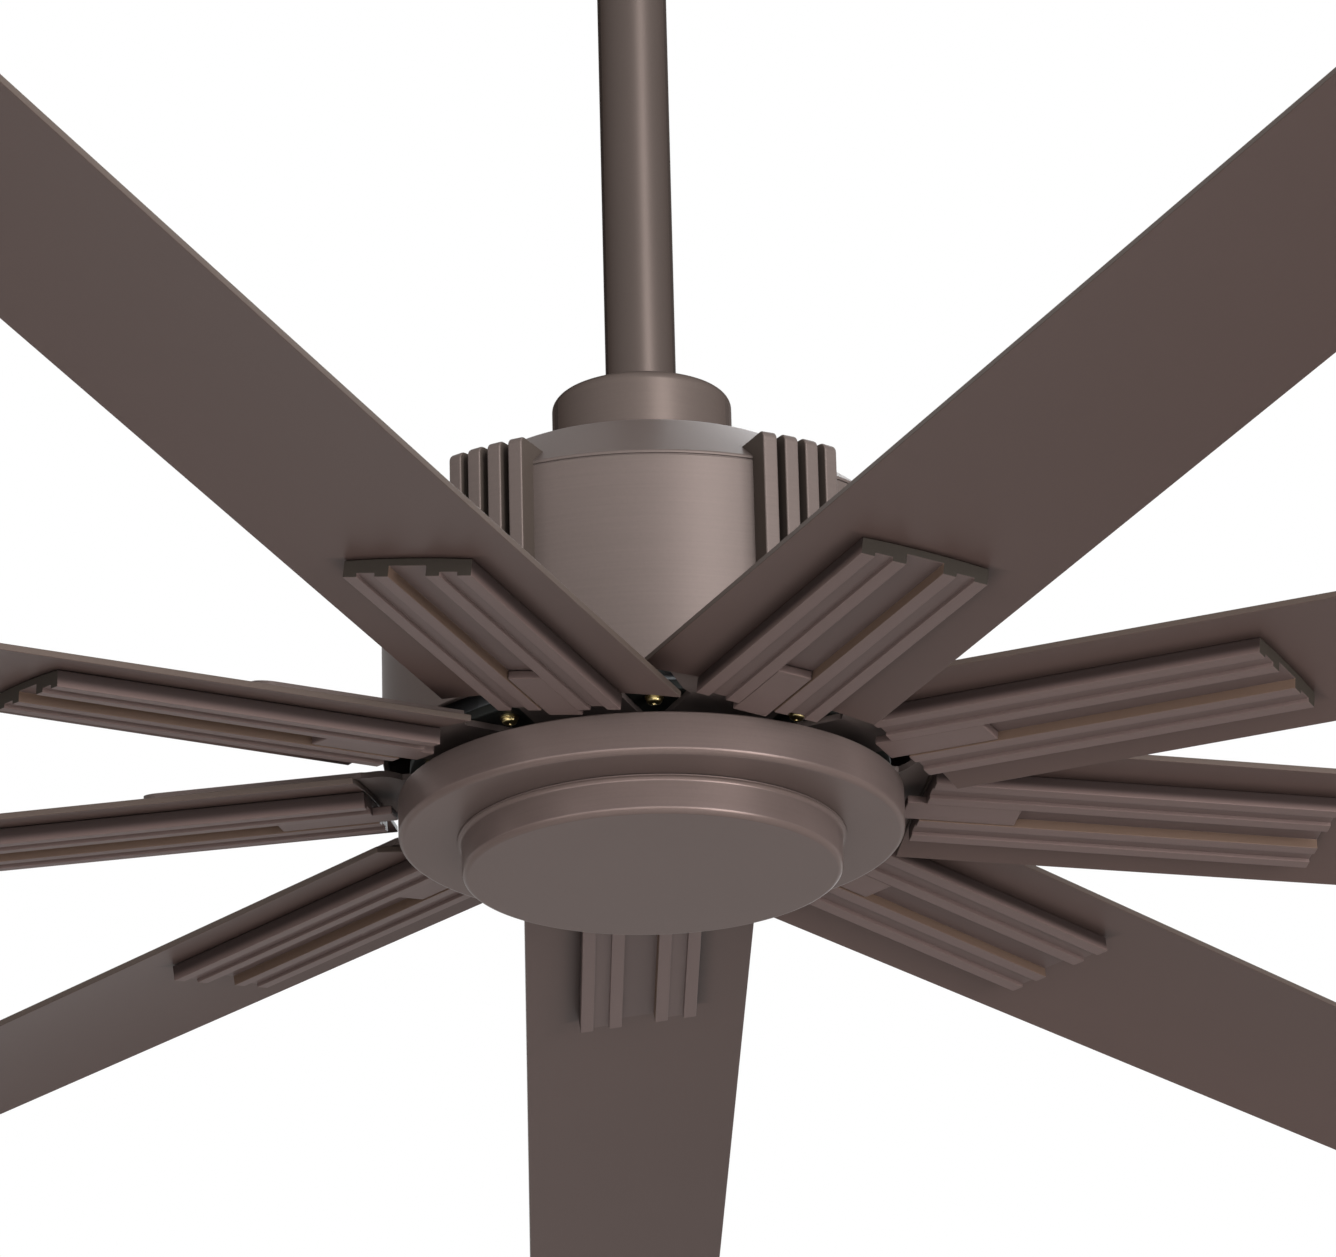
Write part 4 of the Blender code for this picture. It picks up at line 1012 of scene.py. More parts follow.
@dataclass
class StemSet(Assembly):
    """Downrod, the yoke that it is pinned into, and the cover over them."""

    body: str = "stem"
    rod_wall: float = 0.0034
    rod_rounding: float = 0.0006
    cover_wall: float = 0.0015
    cover_rounding: float = 0.005
    cover_lip_rounding: float = 0.0006
    cover_eye: float = 0.0176
    cover_eye_rounding: float = 0.0004
    yoke_flange: float = 0.004
    yoke_neck_share: float = 2 / 3
    yoke_socket: float = 0.0170
    yoke_bore: float = 0.008
    yoke_pocket: float = 0.0123
    yoke_roof: float = 0.003
    yoke_rounding: float = 0.0012
    yoke_lip_rounding: float = 0.0006
    yoke_foot_rounding: float = 0.0004
    boss_radius: float = 0.0085
    boss_root: float = 0.004
    boss_reach: float = 0.003
    boss_rounding: float = 0.0008
    set_screw_radius: float = 0.003
    set_screw_sunk: float = 0.002
    set_screw_rise: float = 0.0012
    set_screw_rounding: float = 0.0003
    pin_share: float = 7 / 12
    pin_head: float = 0.003
    pin_head_rounding: float = 0.0012
    pin_neck_rounding: float = 0.0003
    pin_tail_rounding: float = 0.0010
    clip_wire: float = 0.0007
    clip_lead: float = 0.0016

    def build(self) -> None:
        """Make every piece of the set."""
        self.rod()
        self.cover()
        self.yoke()
        self.clevis()

    def rod(self) -> None:
        """Steel tube with broken edges."""
        low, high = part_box("downrod")
        bore, edge = high.x - self.rod_wall, self.rod_rounding
        shape = Shape.tube(bore, high.x, low.z, high.z, edge, edge, ROUND_STEPS, 3)
        self.fit(shape.mesh("downrod_tube"), [ROD_PAINT], "bronze_steel", ["downrod"])

    def cover(self) -> None:
        """Spun cup round the coupling, with a soft upper edge and a hemmed foot."""
        low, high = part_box("coupling_cover")
        lip = Corner(high.x, low.z, self.cover_lip_rounding)
        shoulder = Corner(high.x, high.z, self.cover_rounding)
        eye = Corner(self.cover_eye, high.z, self.cover_eye_rounding)
        mesh = Shape.cup(lip, shoulder, eye, self.cover_wall, arc_steps=8).mesh("coupling_cup")
        self.fit(mesh, [COVER_PAINT], "bronze_steel", ["coupling_cover"], "cover")

    def yoke(self) -> None:
        """Cast socket with a flange, two bosses and their set screws."""
        low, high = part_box("yoke")
        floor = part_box("downrod")[0].z - CLEARANCE
        neck = high.x * self.yoke_neck_share
        step = floor - self.yoke_roof
        flange_top = low.z + self.yoke_flange
        corners = [
            Corner(self.yoke_socket, high.z, self.yoke_lip_rounding),
            Corner(neck, high.z, self.yoke_rounding),
            Corner(neck, flange_top, self.yoke_rounding * 2),
            Corner(high.x, flange_top, self.yoke_rounding),
            Corner(high.x, low.z, self.yoke_foot_rounding),
            Corner(self.yoke_pocket, low.z),
            Corner(self.yoke_pocket, step),
            Corner(self.yoke_bore, step),
            Corner(self.yoke_bore, floor),
            Corner(self.yoke_socket, floor),
        ]
        shape = Shape.turned(corners, ROUND_STEPS // 2, 4)
        face = neck + self.boss_reach
        sunk, proud = face - self.set_screw_sunk, face + self.set_screw_rise
        screws = []
        for turn in (QUARTER, -QUARTER):
            aim = aimed("Z", turn, z=(flange_top + high.z) / 2) @ aimed("Y", QUARTER)
            boss = Shape.cylinder(self.boss_radius, neck - self.boss_root, face, 32)
            shape.joined(boss.edges_rounded(self.boss_rounding).moved(aim))
            screw = Shape.cylinder(self.set_screw_radius, sunk, proud, 6)
            screws.append(screw.edges_rounded(self.set_screw_rounding, 2).moved(aim))
        self.fit(shape.mesh("yoke_casting"), [CAST_ALUMINIUM], "cast_aluminium", ["yoke"])
        for number, screw in enumerate(screws, 1):
            self.fit(screw.mesh(f"yoke_set_screw_{number}"), [BEARING_STEEL], "bearing_steel")

    def clevis(self) -> None:
        """Headed pin through the yoke and the rod, with the ring clip in its tail."""
        low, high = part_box("clevis_pin")
        height = (low.z + high.z) / 2
        head_radius = (high.z - low.z) / 2
        radius = head_radius * self.pin_share
        neck = high.x - self.pin_head
        corners = [
            Corner(0, high.x),
            Corner(head_radius, high.x, self.pin_head_rounding),
            Corner(head_radius, neck, self.pin_neck_rounding),
            Corner(radius, neck),
            Corner(radius, low.x, self.pin_tail_rounding),
            Corner(0, low.x),
        ]
        pin = Shape.turned(corners, SMALL_ROUND_STEPS, 4).moved(aimed("Y", QUARTER, z=height))
        self.fit(pin.mesh("clevis_pin_turned"), [BEARING_STEEL], "bearing_steel", ["clevis_pin"])
        ring = Shape()
        wire = aimed("X", QUARTER, radius + self.clip_wire * 2)
        bmesh.ops.create_circle(ring.bm, segments=10, radius=self.clip_wire, matrix=wire)
        ring.spun(32).moved(aimed("Y", QUARTER, low.x + self.clip_lead, height))
        self.fit(ring.mesh("clevis_clip"), [BEARING_STEEL], "bearing_steel")


@dataclass
class Housing(Assembly):
    """Shoulder and drum in one spun shell, four blocks of cooling fins, and the slots between the fins."""

    body: str = "stem"
    top_radius: float = 0.080
    shoulder_height: float = 0.0345
    drum_radius: float = 0.1245
    wall: float = 0.003
    eye_radius: float = 0.0123
    shoulder_rounding: float = 0.006
    shoulder_edge: float = 0.0006
    edge_height: float = 0.0014
    edge_foot: float = 0.0003
    edge_rounding: float = 0.0007
    seam_depth: float = 0.0008
    seam_height: float = 0.0005
    seam_rounding: float = 0.0001
    foot_rounding: float = 0.0008
    block_turn: float = math.radians(32.4)
    fins_per_block: int = 4
    fin_pitch: float = math.radians(4.65)
    fin_width: float = 0.0071
    fin_depth: float = 0.0115
    fin_corner: float = 0.004
    fin_rise: float = 0.009
    fin_foot_rise: float = 0.008
    fin_lap: float = 0.0018
    fin_rounding: float = 0.0009
    fin_squareness: float = 0.9
    vent_width: float = 0.0026
    vent_top_margin: float = 0.010
    vent_foot_margin: float = 0.024

    def build(self) -> None:
        """Make the shell, cut its slots and add its fins."""
        low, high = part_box("housing")
        knives, fins = Shape(), Shape()
        for turn in self.turns(self.fins_per_block - 1):
            knives.joined(self.slot(low.z, high.z).moved(aimed("Z", turn)))
        for turn in self.turns(self.fins_per_block):
            fins.joined(self.fin(low.z, high.z).moved(aimed("Z", turn)))
        mesh = self.shell(low.z, high.z).without(knives).joined(fins).mesh("motor_housing")
        self.fit(mesh, [HOUSING_PAINT, FIN_SIDE_PAINTED_SHADE], "bronze_cast", ["housing"])

    def turns(self, count: int) -> Iterator[float]:
        """Yield the angles of fins or slots in all four blocks.

        Args:
            count: How many stand in a block.

        Returns:
            The angles about the fan's axis.
        """
        for side in (-1, 1):
            for lean in (-1, 1):
                block = side * math.pi / 2 + lean * self.block_turn
                for index in range(count):
                    yield block + (index - (count - 1) / 2) * self.fin_pitch

    def shell(self, foot: float, top: float) -> Shape:
        """Turn the shell, with the thin seam under the shoulder's edge.

        Args:
            foot: Height of the drum's foot.
            top: Height of the shoulder's top.

        Returns:
            The shell.
        """
        drum_top = top - self.shoulder_height
        inside = self.drum_radius - self.wall
        seam = self.drum_radius - self.seam_depth
        seam_top = drum_top - self.edge_height
        corners = [
            Corner(self.eye_radius, top),
            Corner(self.top_radius, top, self.shoulder_rounding),
            Corner(self.drum_radius, drum_top, self.shoulder_edge),
            Corner(self.drum_radius, seam_top, self.edge_foot),
            Corner(seam, seam_top, self.seam_rounding),
            Corner(seam, seam_top - self.seam_height, self.seam_rounding),
            Corner(self.drum_radius, seam_top - self.seam_height, self.edge_rounding),
            Corner(self.drum_radius, foot, self.foot_rounding),
            Corner(inside, foot, self.foot_rounding),
            Corner(inside, drum_top - self.wall / 2),
            Corner(self.top_radius - self.wall / 3, top - self.wall),
            Corner(self.eye_radius, top - self.wall),
        ]
        return Shape.turned(corners, arc_steps=4)

    def fin(self, foot: float, top: float) -> Shape:
        """One rounded rib, from the shoulder down to just over the drum's foot.

        Args:
            foot: Height of the drum's foot.
            top: Height of the shoulder's top.

        Returns:
            The fin, on +X.
        """
        drum_top = top - self.shoulder_height
        outer = self.drum_radius + self.fin_depth
        inner = self.drum_radius - self.fin_lap
        slope = self.shoulder_height / (self.drum_radius - self.top_radius)
        crown = drum_top + self.fin_rise
        side = -self.fin_width / 2
        shape = Shape.sheet([
            (inner, side, foot + self.fin_foot_rise),
            (outer, side, foot + self.fin_foot_rise),
            (outer, side, crown),
            (inner - self.fin_rise / slope, side, crown),
            (inner, side, drum_top - self.wall),
        ])
        shape.rounded([max(shape.bm.verts, key=lambda point: point.co.x + point.co.z)], self.fin_corner, 6)
        shape.extruded((0, self.fin_width, 0)).edges_rounded(self.fin_rounding)
        # The flat sides take slot 1, a painted shade.
        return shape.painted(1, lambda face: abs(face.normal.y) > self.fin_squareness)

    def slot(self, foot: float, top: float) -> Shape:
        """Cutter for one slot, which lies between two fins.

        Args:
            foot: Height of the drum's foot.
            top: Height of the shoulder's top.

        Returns:
            The cutter, on +X.
        """
        low = (self.drum_radius - self.wall * 2, -self.vent_width / 2, foot + self.vent_foot_margin)
        high_z = top - self.shoulder_height - self.vent_top_margin
        return Shape.block(low, (self.drum_radius + self.wall, self.vent_width / 2, high_z))


@dataclass
class MotorInsides(Assembly):
    """Shaft, bearings, stator, bell and electronics, which keep their CAD meshes."""

    body: str = "stem"
    dressed: tuple[tuple[str, Finish], ...] = (
        ("receiver", CASE_PLASTIC),
        ("motor_shaft", BEARING_STEEL),
        ("stator", COPPER_WINDING),
        ("upper_bearing", BEARING_STEEL),
        ("lower_bearing", BEARING_STEEL),
        ("shaft_spacer", BEARING_STEEL),
        ("shaft_nut", ZINC_STEEL),
        ("rotor_case", CAST_ALUMINIUM),
        ("magnet_ring", MAGNET_BLACK),
    )

    def build(self) -> None:
        """Dress every node of the motor."""
        for node, finish in self.dressed:
            self.dress(node, finish)


@dataclass
class BottomPans(Assembly):
    """The two stepped pans under the blades."""

    body: str = "stem"
    steps: int = ROUND_STEPS * 3 // 2
    wall: float = 0.0018
    eye_radius: float = 0.0123
    cap_rounding: float = 0.003
    cap_rim_rounding: float = 0.0008
    cover_rounding: float = 0.003
    flare: float = 0.0020
    flare_edge: float = 0.0006
    steepest_flat: float = 0.35

    def build(self) -> None:
        """Make both pans."""
        self.cap()
        self.cover()

    def cap(self) -> None:
        """Wide pan, open above."""
        low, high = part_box("bottom_cap")
        lip = Corner(high.x, high.z, self.cap_rim_rounding)
        base = Corner(high.x, low.z, self.cap_rounding)
        eye = Corner(self.eye_radius, low.z)
        self.pan(Shape.cup(lip, base, eye, self.wall, self.steps, 6), "bottom_cap")

    def cover(self) -> None:
        """Smaller pan, flared where it meets the wide one."""
        low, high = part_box("bottom_cover")
        brim = high.x
        radius = brim - self.flare
        inside = radius - self.wall
        corners = [
            Corner(0, low.z),
            Corner(radius, low.z, self.cover_rounding),
            Corner(radius, high.z - self.flare_edge, self.flare),
            Corner(brim, high.z - self.flare_edge),
            Corner(brim, high.z),
            Corner(inside, high.z),
            Corner(inside, low.z + self.wall, self.cover_rounding - self.wall),
            Corner(0, low.z + self.wall),
        ]
        self.pan(Shape.turned(corners, self.steps, 6), "bottom_cover")

    def pan(self, shape: Shape, node: str) -> None:
        """Fit a pan in place of its node, with its wall painted a tone lighter than its flats, as painted light."""
        shape.painted(1, lambda face: abs(face.normal.z) < self.steepest_flat)
        self.fit(shape.mesh(node + "_pan"), [PAN_PAINT, PAN_WALL_PAINTED_LIGHT], "bronze_cast", [node])


@dataclass
class BladeRing(Assembly):
    """Flywheel and the nine blades on it, each with its iron, rails, clamp bar and bolts."""

    body: str = "rotor"
    count: int = 9
    first_turn: float = math.radians(91.43)
    pitch: float = math.radians(7.65)
    droop: float = math.radians(1.55)
    level_radius: float = 0.264
    offset: float = 0.0022
    root: float = 0.130
    length: float = 0.7836
    root_width: float = 0.1149
    tip_width: float = 0.1046
    thickness: float = 0.003
    edge_rounding: float = 0.0014
    flattest_edge: float = 0.6
    camber_height: float = 0.003
    camber_centre: float = 0.0018
    camber_steps: int = 20
    tip_corner: float = 0.012
    flywheel_eye: float = 0.0165
    flywheel_recess: float = 0.0215
    flywheel_boss: float = 0.027
    flywheel_edge: float = 0.0008
    iron_thickness: float = 0.003
    iron_foot_half: float = 0.024
    iron_foot_length: float = 0.038
    iron_overhang: float = 0.001
    iron_half: float = 0.0465
    iron_pad_lead: float = 0.002
    iron_grip: float = 0.102
    iron_corner: float = 0.008
    iron_rounding: float = 0.0007
    iron_over_plane: float = 0.0072
    iron_steps: tuple[int, int] = (10, 16)
    rail_length: float = 0.194
    rail_width: float = 0.021
    rail_height: float = 0.008
    notch_width: float = 0.008
    notch_depth: float = 0.00175
    web_width: float = 0.017
    web_thickness: float = 0.0035
    rail_rounding: float = 0.00045
    clamp_thickness: float = 0.004
    clamp_lead: float = 0.009
    clamp_reach: float = 0.046
    clamp_rounding: float = 0.0007
    bolt_shares: tuple[float, float] = (0.2, 0.72)
    bolt_radius: float = 0.0025
    nut_radius: float = 0.0045
    nut_height: float = 0.0026
    nut_rounding: float = 0.0004
    washer_radius: float = 0.0050
    washer_height: float = 0.0006
    washer_rounding: float = 0.0002
    screw_circle: float = 0.102
    screw_head: float = 0.0037
    screw_height: float = 0.0026
    screw_dome: float = 0.00208
    screw_recess: float = 0.0008
    screw_recess_rim: float = 0.00111
    screw_recess_floor: float = 0.000814
    screw_recess_rounding: float = 0.0002
    screw_washer: float = 0.0043
    screw_washer_height: float = 0.0012
    screw_washer_rounding: float = 0.0003

    def build(self) -> None:
        """Make the flywheel, then the pieces of every blade."""
        self.flywheel()
        kinds = {
            "blade": (self.blade(), [BLADE_PAINT, EDGE_PAINTED_SHADE, UNDERSIDE_SHADED_PAINT], "bronze_blade"),
            "iron": (self.iron(), [BLADE_PAINT], "bronze_cast"),
            "rail": (self.rail(), [RAIL_PAINT, GROOVE_PAINTED_REFLECTION, RAIL_END_PAINTED_SHADE], "bronze_blade"),
            "clamp": (self.clamp(), [RAIL_PAINT], "bronze_steel"),
        }
        nuts = self.nuts()
        screw = self.flywheel_screw()
        for number in range(1, self.count + 1):
            turn = self.first_turn + math.tau * (number - 1) / self.count
            spin = aimed("Z", turn)
            for kind, (shape, finishes, slot) in kinds.items():
                copy = shape.copied().mapped(BLADE_PLACE)
                if kind != "iron":
                    copy.moved(self.blade_frame())
                mesh = copy.moved(spin).mesh(f"{kind}_{number}_piece")
                self.fit(mesh, finishes, slot, [f"{kind}_{number}"])
            fixing = nuts.copied().moved(spin @ self.blade_frame()).mesh(f"clamp_nuts_{number}")
            self.fit(fixing, [FIXING_PAINT], "bronze_steel")
            between = aimed("Z", turn + math.pi / self.count)
            self.fit(screw.copied().moved(between).mesh(f"flywheel_screw_{number}"), [BRASS])

    @property
    def plane(self) -> float:
        """Height of the blades' plane, from the flywheel over it."""
        return self.iron_level - self.iron_over_plane

    @property
    def iron_level(self) -> float:
        """Height of the middle of an iron's foot."""
        return self.flywheel_foot() - CLEARANCE - self.iron_thickness / 2

    @staticmethod
    def flywheel_foot() -> float:
        """Height of the flywheel's underside."""
        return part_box("flywheel")[0].z

    def blade_frame(self) -> Matrix:
        """Return the axes of a blade that points along +X: X along, Y across and Z through it.

        Returns:
            The matrix that takes a point from the blade's axes to the fan's.
        """
        return (
            Matrix.Translation((self.level_radius, self.offset, self.plane))
            @ Matrix.Rotation(self.droop, 4, "Y")
            @ Matrix.Rotation(-self.pitch, 4, "X")
            @ Matrix.Translation((-self.level_radius, 0, 0))
        )

    def camber(self, across: float) -> float:
        """Return the height of a blade's middle surface at a distance from its centre line."""
        return self.camber_centre - self.camber_height * (2 * across / self.root_width) ** 2

    def flywheel(self) -> None:
        """Disc over the irons, with a raised boss round the lower bearing."""
        low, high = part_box("flywheel")
        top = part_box("lower_bearing")[0].z - CLEARANCE
        corners = [
            Corner(self.flywheel_eye, low.z, self.flywheel_edge / 2),
            Corner(high.x, low.z, self.flywheel_edge),
            Corner(high.x, top, self.flywheel_edge),
            Corner(self.flywheel_boss, top),
            Corner(self.flywheel_boss, high.z, self.flywheel_edge * 3 / 4),
            Corner(self.flywheel_recess, high.z),
            Corner(self.flywheel_recess, top),
            Corner(self.flywheel_eye, top),
        ]
        mesh = Shape.turned(corners, arc_steps=3).mesh("flywheel_disc")
        self.fit(mesh, [FLYWHEEL_BLACK], "cast_aluminium", ["flywheel"])

    def flywheel_screw(self) -> Shape:
        """Domed screw head on its washer, under the flywheel between two irons.

        Returns:
            The screw, on +X.
        """
        foot = self.flywheel_foot()
        seat = foot - self.screw_washer_height
        tip = seat - self.screw_height
        corners = [
            Corner(0, foot),
            Corner(self.screw_washer, foot),
            Corner(self.screw_washer, seat, self.screw_washer_rounding),
            Corner(self.screw_head, seat),
            Corner(self.screw_head, tip, self.screw_dome),
            Corner(self.screw_recess_rim, tip, self.screw_recess_rounding),
            Corner(self.screw_recess_floor, tip + self.screw_recess),
            Corner(0, tip + self.screw_recess),
        ]
        return Shape.turned(corners, SMALL_ROUND_STEPS, 6).moved(Matrix.Translation((self.screw_circle, 0, 0)))

    @staticmethod
    def stops(half: float, count: int) -> list[float]:
        """Return evenly spaced places across a sheet."""
        return [half * (2 * step / count - 1) for step in range(1, count)]

    def blade(self) -> Shape:
        """Long crowned blade with rounded edges, in its own axes.

        Returns:
            The blade.
        """
        root_half = self.root_width / 2
        tip_half = self.tip_width / 2
        tip = self.root + self.length
        shape = Shape.sheet([
            (self.root, -root_half, 0), (tip, -tip_half, 0), (tip, tip_half, 0), (self.root, root_half, 0)
        ])
        shape.rounded([point for point in shape.bm.verts if point.co.x > tip - WELD], self.tip_corner, 8)
        shape.divided(1, self.stops(root_half, self.camber_steps))
        top = self.thickness / 2
        shape.bent(lambda point: Vector((point.x, point.y, self.camber(point.y) + top)))
        shape.thickened(self.thickness).edges_rounded(self.edge_rounding, 4, BLUNT_EDGE)
        # The edge faces take a painted shade.
        shape.painted(1, lambda face: abs(face.normal.z) < self.flattest_edge)
        # The underside takes a painted shade.
        return shape.painted(2, lambda face: face.normal.z <= -self.flattest_edge)

    def iron(self) -> Shape:
        """Bracket with a level foot, a twisted neck and a pad on the blade, already in place along +X.

        Returns:
            The iron.
        """
        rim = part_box("flywheel")[1].x
        start, foot_end = rim - self.iron_foot_length, rim + self.iron_overhang
        pad_start, pad_end = self.root - self.iron_pad_lead, self.root + self.iron_grip
        foot, pad = self.iron_foot_half, self.iron_half
        shape = Shape.sheet([
            (start, -foot, 0), (foot_end, -foot, 0), (pad_start, -pad, 0), (pad_end, -pad, 0),
            (pad_end, pad, 0), (pad_start, pad, 0), (foot_end, foot, 0), (start, foot, 0),
        ])
        shape.rounded([point for point in shape.bm.verts if point.co.x > pad_end - WELD], self.iron_corner, 6)
        reach = pad_start - foot_end
        neck_steps, pad_steps = self.iron_steps
        shape.divided(0, [foot_end + reach * step / neck_steps for step in range(neck_steps + 1)])
        shape.divided(1, self.stops(pad, pad_steps))
        frame_of_blade = self.blade_frame()
        over = self.thickness / 2 + CLEARANCE + self.iron_thickness
        level = self.iron_level + self.iron_thickness / 2

        def bend(point: Vector) -> Vector:
            """Take a point of the flat blank to its place between foot and pad.

            Args:
                point: A point of the blank.

            Returns:
                Its place on the iron.
            """
            share = min(max((point.x - foot_end) / reach, 0.0), 1.0)
            eased = share * share * (3 - 2 * share)
            on_pad = frame_of_blade @ Vector((point.x, point.y, self.camber(point.y) + over))
            return Vector((point.x, point.y, level)).lerp(on_pad, eased)

        return shape.bent(bend).thickened(self.iron_thickness).edges_rounded(self.iron_rounding, 2, BLUNT_EDGE)

    def rail(self) -> Shape:
        """Extruded bracket with two notched rails and a thin web, in the blade's axes.

        Returns:
            The bracket.
        """
        web = self.web_width / 2
        middle = web + self.rail_width / 2
        outer = web + self.rail_width
        notch = self.notch_width / 2
        under = -self.thickness / 2 - CLEARANCE
        foot = self.camber(middle) + under - self.rail_height
        web_foot = self.camber(0) + under - self.web_thickness
        half = [
            (outer, self.camber(outer) + under),
            (outer, foot),
            (middle + notch, foot),
            (middle + notch, foot + self.notch_depth),
            (middle - notch, foot + self.notch_depth),
            (middle - notch, foot),
            (web, foot),
            (web, web_foot),
        ]
        crown = [(0, self.camber(0) + under), (outer / 2, self.camber(outer / 2) + under)]
        right = crown + half
        left = [(-across, rise) for across, rise in reversed(right[1:])]
        outline = [(self.root, across, rise) for across, rise in right + left]
        shape = Shape.sheet(outline).extruded((self.rail_length, 0, 0)).edges_rounded(self.rail_rounding, 2)

        def in_groove(face: bmesh.types.BMFace) -> bool:
            """Tell whether a face lines the groove between the rails."""
            centre = face.calc_center_median()
            return abs(abs(centre.y) - web) < self.rail_rounding / 2 and foot < centre.z < web_foot

        # The far ends take a painted shade.
        def at_end(face: bmesh.types.BMFace) -> bool:
            """Tell whether a face is the sawn end under the blade."""
            return face.calc_center_median().x > self.root + self.rail_length - self.rail_rounding / 2

        # The groove's walls take a warm painted reflection.
        return shape.painted(1, in_groove).painted(2, at_end)

    def clamp(self) -> Shape:
        """Flat bar in the groove, with rounded edges, in the blade's axes.

        Returns:
            The bar.
        """
        top = self.camber(0) - self.thickness / 2 - CLEARANCE - self.web_thickness - CLEARANCE
        half = self.web_width / 2 - CLEARANCE
        low = (self.root - self.clamp_lead, -half, top - self.clamp_thickness)
        high = (self.root + self.clamp_reach, half, top)
        return Shape.block(low, high).edges_rounded(self.clamp_rounding)

    def nuts(self) -> Shape:
        """Two hexagon nuts on washers, with the ends of their bolts, in the blade's axes.

        Returns:
            The nuts, washers and bolt ends in one shape.
        """
        foot = self.camber(0) + self.thickness / 2 + CLEARANCE + self.iron_thickness
        seat = foot + self.washer_height
        top = seat + self.nut_height
        shape = Shape()
        for share in self.bolt_shares:
            place = Matrix.Translation((self.root + self.clamp_reach * share, 0, 0))
            washer = Shape.cylinder(self.washer_radius, foot, seat, 32).edges_rounded(self.washer_rounding, 2)
            nut = Shape.cylinder(self.nut_radius, seat, top, 6).edges_rounded(self.nut_rounding, 2)
            thread = Shape.tube(
                0, self.bolt_radius, foot - self.thickness, top + CLEARANCE, 0.0, self.washer_rounding, 24, 2
            )
            for piece in (washer, nut, thread):
                shape.joined(piece.moved(place))
        return shape


# Studio


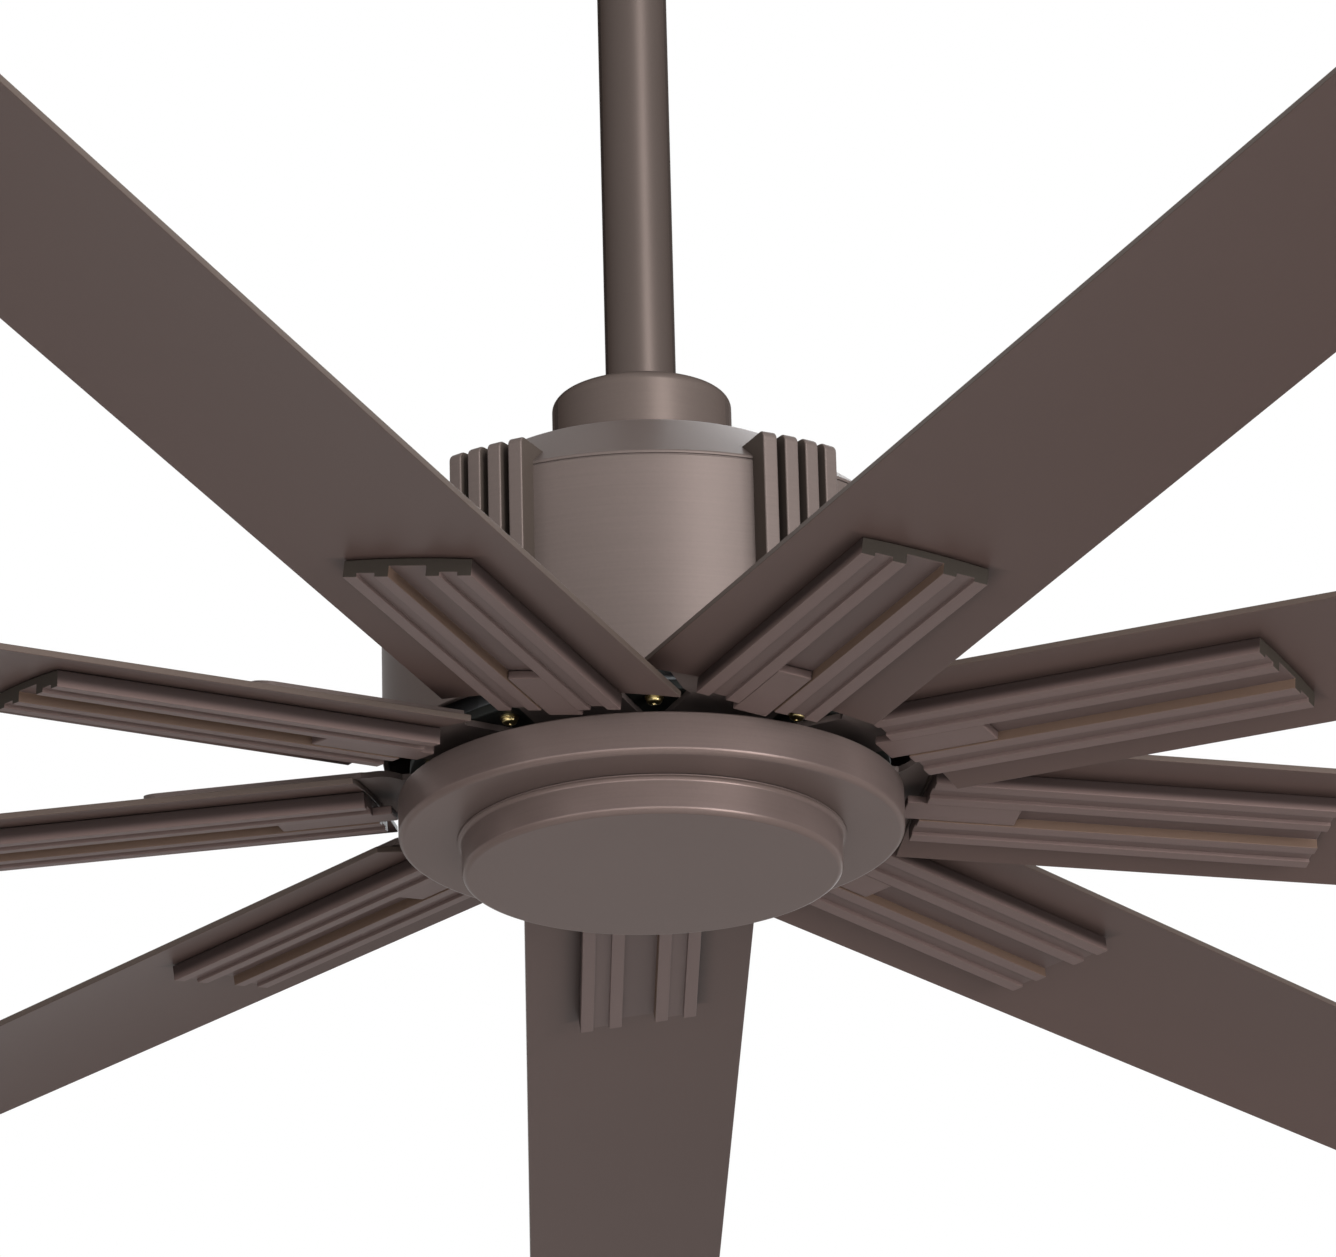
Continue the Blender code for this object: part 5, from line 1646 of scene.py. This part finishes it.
@dataclass
class Studio:
    """Pale floor, soft light, white surroundings and the photograph's camera."""

    lens: float = 202.24
    sensor_width: float = 36.0
    nearest: float = 0.05
    farthest: float = 200.0
    camera_place: tuple[float, float, float] = (0.0, -3.2903, -1.8365)
    yaw: float = 0.0030
    pitch: float = 0.3642
    roll: float = -0.0255
    floor_height: float = -3.2
    floor_size: float = 240.0
    floor_colour: Colour = (0.80, 0.80, 0.79)
    floor_tone: float = 0.985
    floor_cloud: float = 3.0
    floor_roughness: float = 0.8
    near_lift: float = 0.12
    far_lift: float = 0.40
    near_radius: float = 2.5
    far_radius: float = 8.0
    haze_lift: float = 0.27
    haze_radius: float = 50.0
    day_level: float = 0.35
    lamp_colour: Colour = (0.93, 0.97, 1.0)
    lamp_target: tuple[float, float, float] = (0.0, 0.0, -0.55)

    def build(self) -> None:
        """Make the whole studio."""
        self.camera()
        self.floor()
        self.surroundings()
        self.lamp("key", (2.0, -4.0, 0.3), (1.2, 3.2), 230.0)
        self.lamp("front", (-0.6, -3.9, -1.35), (3.4, 1.5), 78.0)
        self.lamp("side", (2.8, -2.7, -1.20), (1.4, 1.4), 118.0)
        self.lamp("crown", (0.9, 2.5, 2.0), (1.4, 1.4), 30.0)
        self.lamp("left", (-3.2, -2.5, -1.25), (1.6, 1.6), 24.0)
        self.lamp("rear", (1.6, 4.2, 0.4), (2.0, 2.0), 45.0)

    def camera(self) -> None:
        """Stand under the fan and look up at it, as the photograph does."""
        yaw, pitch, roll = self.yaw, self.pitch, self.roll
        ahead = Vector((math.sin(yaw) * math.cos(pitch), math.cos(yaw) * math.cos(pitch), math.sin(pitch)))
        level = Vector((math.cos(yaw), -math.sin(yaw), 0))
        upright = level.cross(ahead)
        right = level * math.cos(roll) + upright * math.sin(roll)
        up = upright * math.cos(roll) - level * math.sin(roll)
        data = bpy.data.cameras.new("camera")
        data.lens = self.lens
        data.sensor_width = self.sensor_width
        data.clip_start = self.nearest
        data.clip_end = self.farthest
        camera = placed("camera", data)
        turn = Matrix((right, up, -ahead)).transposed().to_4x4()
        camera.matrix_world = Matrix.Translation(self.camera_place) @ turn
        bpy.context.scene.camera = camera

    def floor(self) -> None:
        """Lay a wide pale floor under the fan."""
        half = self.floor_size / 2
        z = self.floor_height
        mesh = Shape.sheet([(-half, -half, z), (half, -half, z), (half, half, z), (-half, half, z)]).mesh("floor")
        material = bpy.data.materials.new("pale_floor")
        material.use_nodes = True
        graph = Graph(material.node_tree)
        low = [channel * self.floor_tone for channel in self.floor_colour]
        colour = graph.blend(graph.noise(graph.place(), self.floor_cloud), low, self.floor_colour)
        x, y, _ = graph.parts(graph.place())
        radius = (x * x + y * y) ** 0.5
        far = graph.rise(radius, self.near_radius, self.far_radius)
        haze = graph.rise(radius, self.far_radius, self.haze_radius)
        lift = far * (self.far_lift - self.near_lift) + haze * self.haze_lift + self.near_lift
        glow = graph.blend(self.looked_at(graph) * lift, (0, 0, 0), (1, 1, 1))
        plugs = {
            "Base Color": colour, "Roughness": self.floor_roughness, "Emission Color": glow, "Emission Strength": 1.0,
        }
        shader = graph.node("ShaderNodeBsdfPrincipled", plugs=plugs)
        graph.node("ShaderNodeOutputMaterial", plugs={"Surface": shader})
        mesh.materials.append(material)
        placed("floor", mesh)

    def surroundings(self) -> None:
        """Show white to the camera, to metal and to glass, and give everything else plain daylight."""
        bpy.context.scene.view_settings.view_transform = "Standard"
        world = bpy.data.worlds.new("studio")
        bpy.context.scene.world = world
        world.use_nodes = True
        graph = Graph(world.node_tree)
        white = self.looked_at(graph)
        strength = white + (1 - white) * self.day_level
        ground = graph.node("ShaderNodeBackground", plugs={"Color": (1, 1, 1, 1), "Strength": strength})
        graph.node("ShaderNodeOutputWorld", plugs={"Surface": ground})

    @staticmethod
    def looked_at(graph: Graph) -> Reading:
        """Return 1 for the camera, for metal and for glass, and 0 for the light that falls on things.

        Args:
            graph: The floor's or the world's node graph.

        Returns:
            The value, 0 or 1.
        """
        seen = graph.node("ShaderNodeLightPath", output="Is Camera Ray")
        paths = seen.socket.node.outputs
        mirrored = Reading(graph, paths["Is Glossy Ray"])
        through = Reading(graph, paths["Is Transmission Ray"])
        return seen.larger(mirrored).larger(through)

    def lamp(self, name: str, place: Sequence[float], size: tuple[float, float], power: float) -> None:
        """Hang a soft box that faces the fan.

        Args:
            name: The lamp's name.
            place: Where it hangs.
            size: Its width and height.
            power: Its power in watts.
        """
        data = bpy.data.lights.new(name, "AREA")
        data.color = self.lamp_colour
        data.shape = "RECTANGLE"
        data.size, data.size_y = size
        data.energy = power
        lamp = placed(name, data)
        lamp.visible_camera = False
        aim = Vector(self.lamp_target) - Vector(place)
        lamp.matrix_world = Matrix.Translation(place) @ aim.to_track_quat("-Z", "Y").to_matrix().to_4x4()


def main() -> None:
    """Build the fan's assemblies in order, then the studio."""
    logging.basicConfig(level=logging.INFO, format="%(message)s")
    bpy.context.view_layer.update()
    for assembly in (CeilingSet(), StemSet(), Housing(), MotorInsides(), BladeRing(), BottomPans()):
        assembly.build()
        log.info("%s done", type(assembly).__name__)
    Studio().build()


if __name__ == "__main__":
    main()
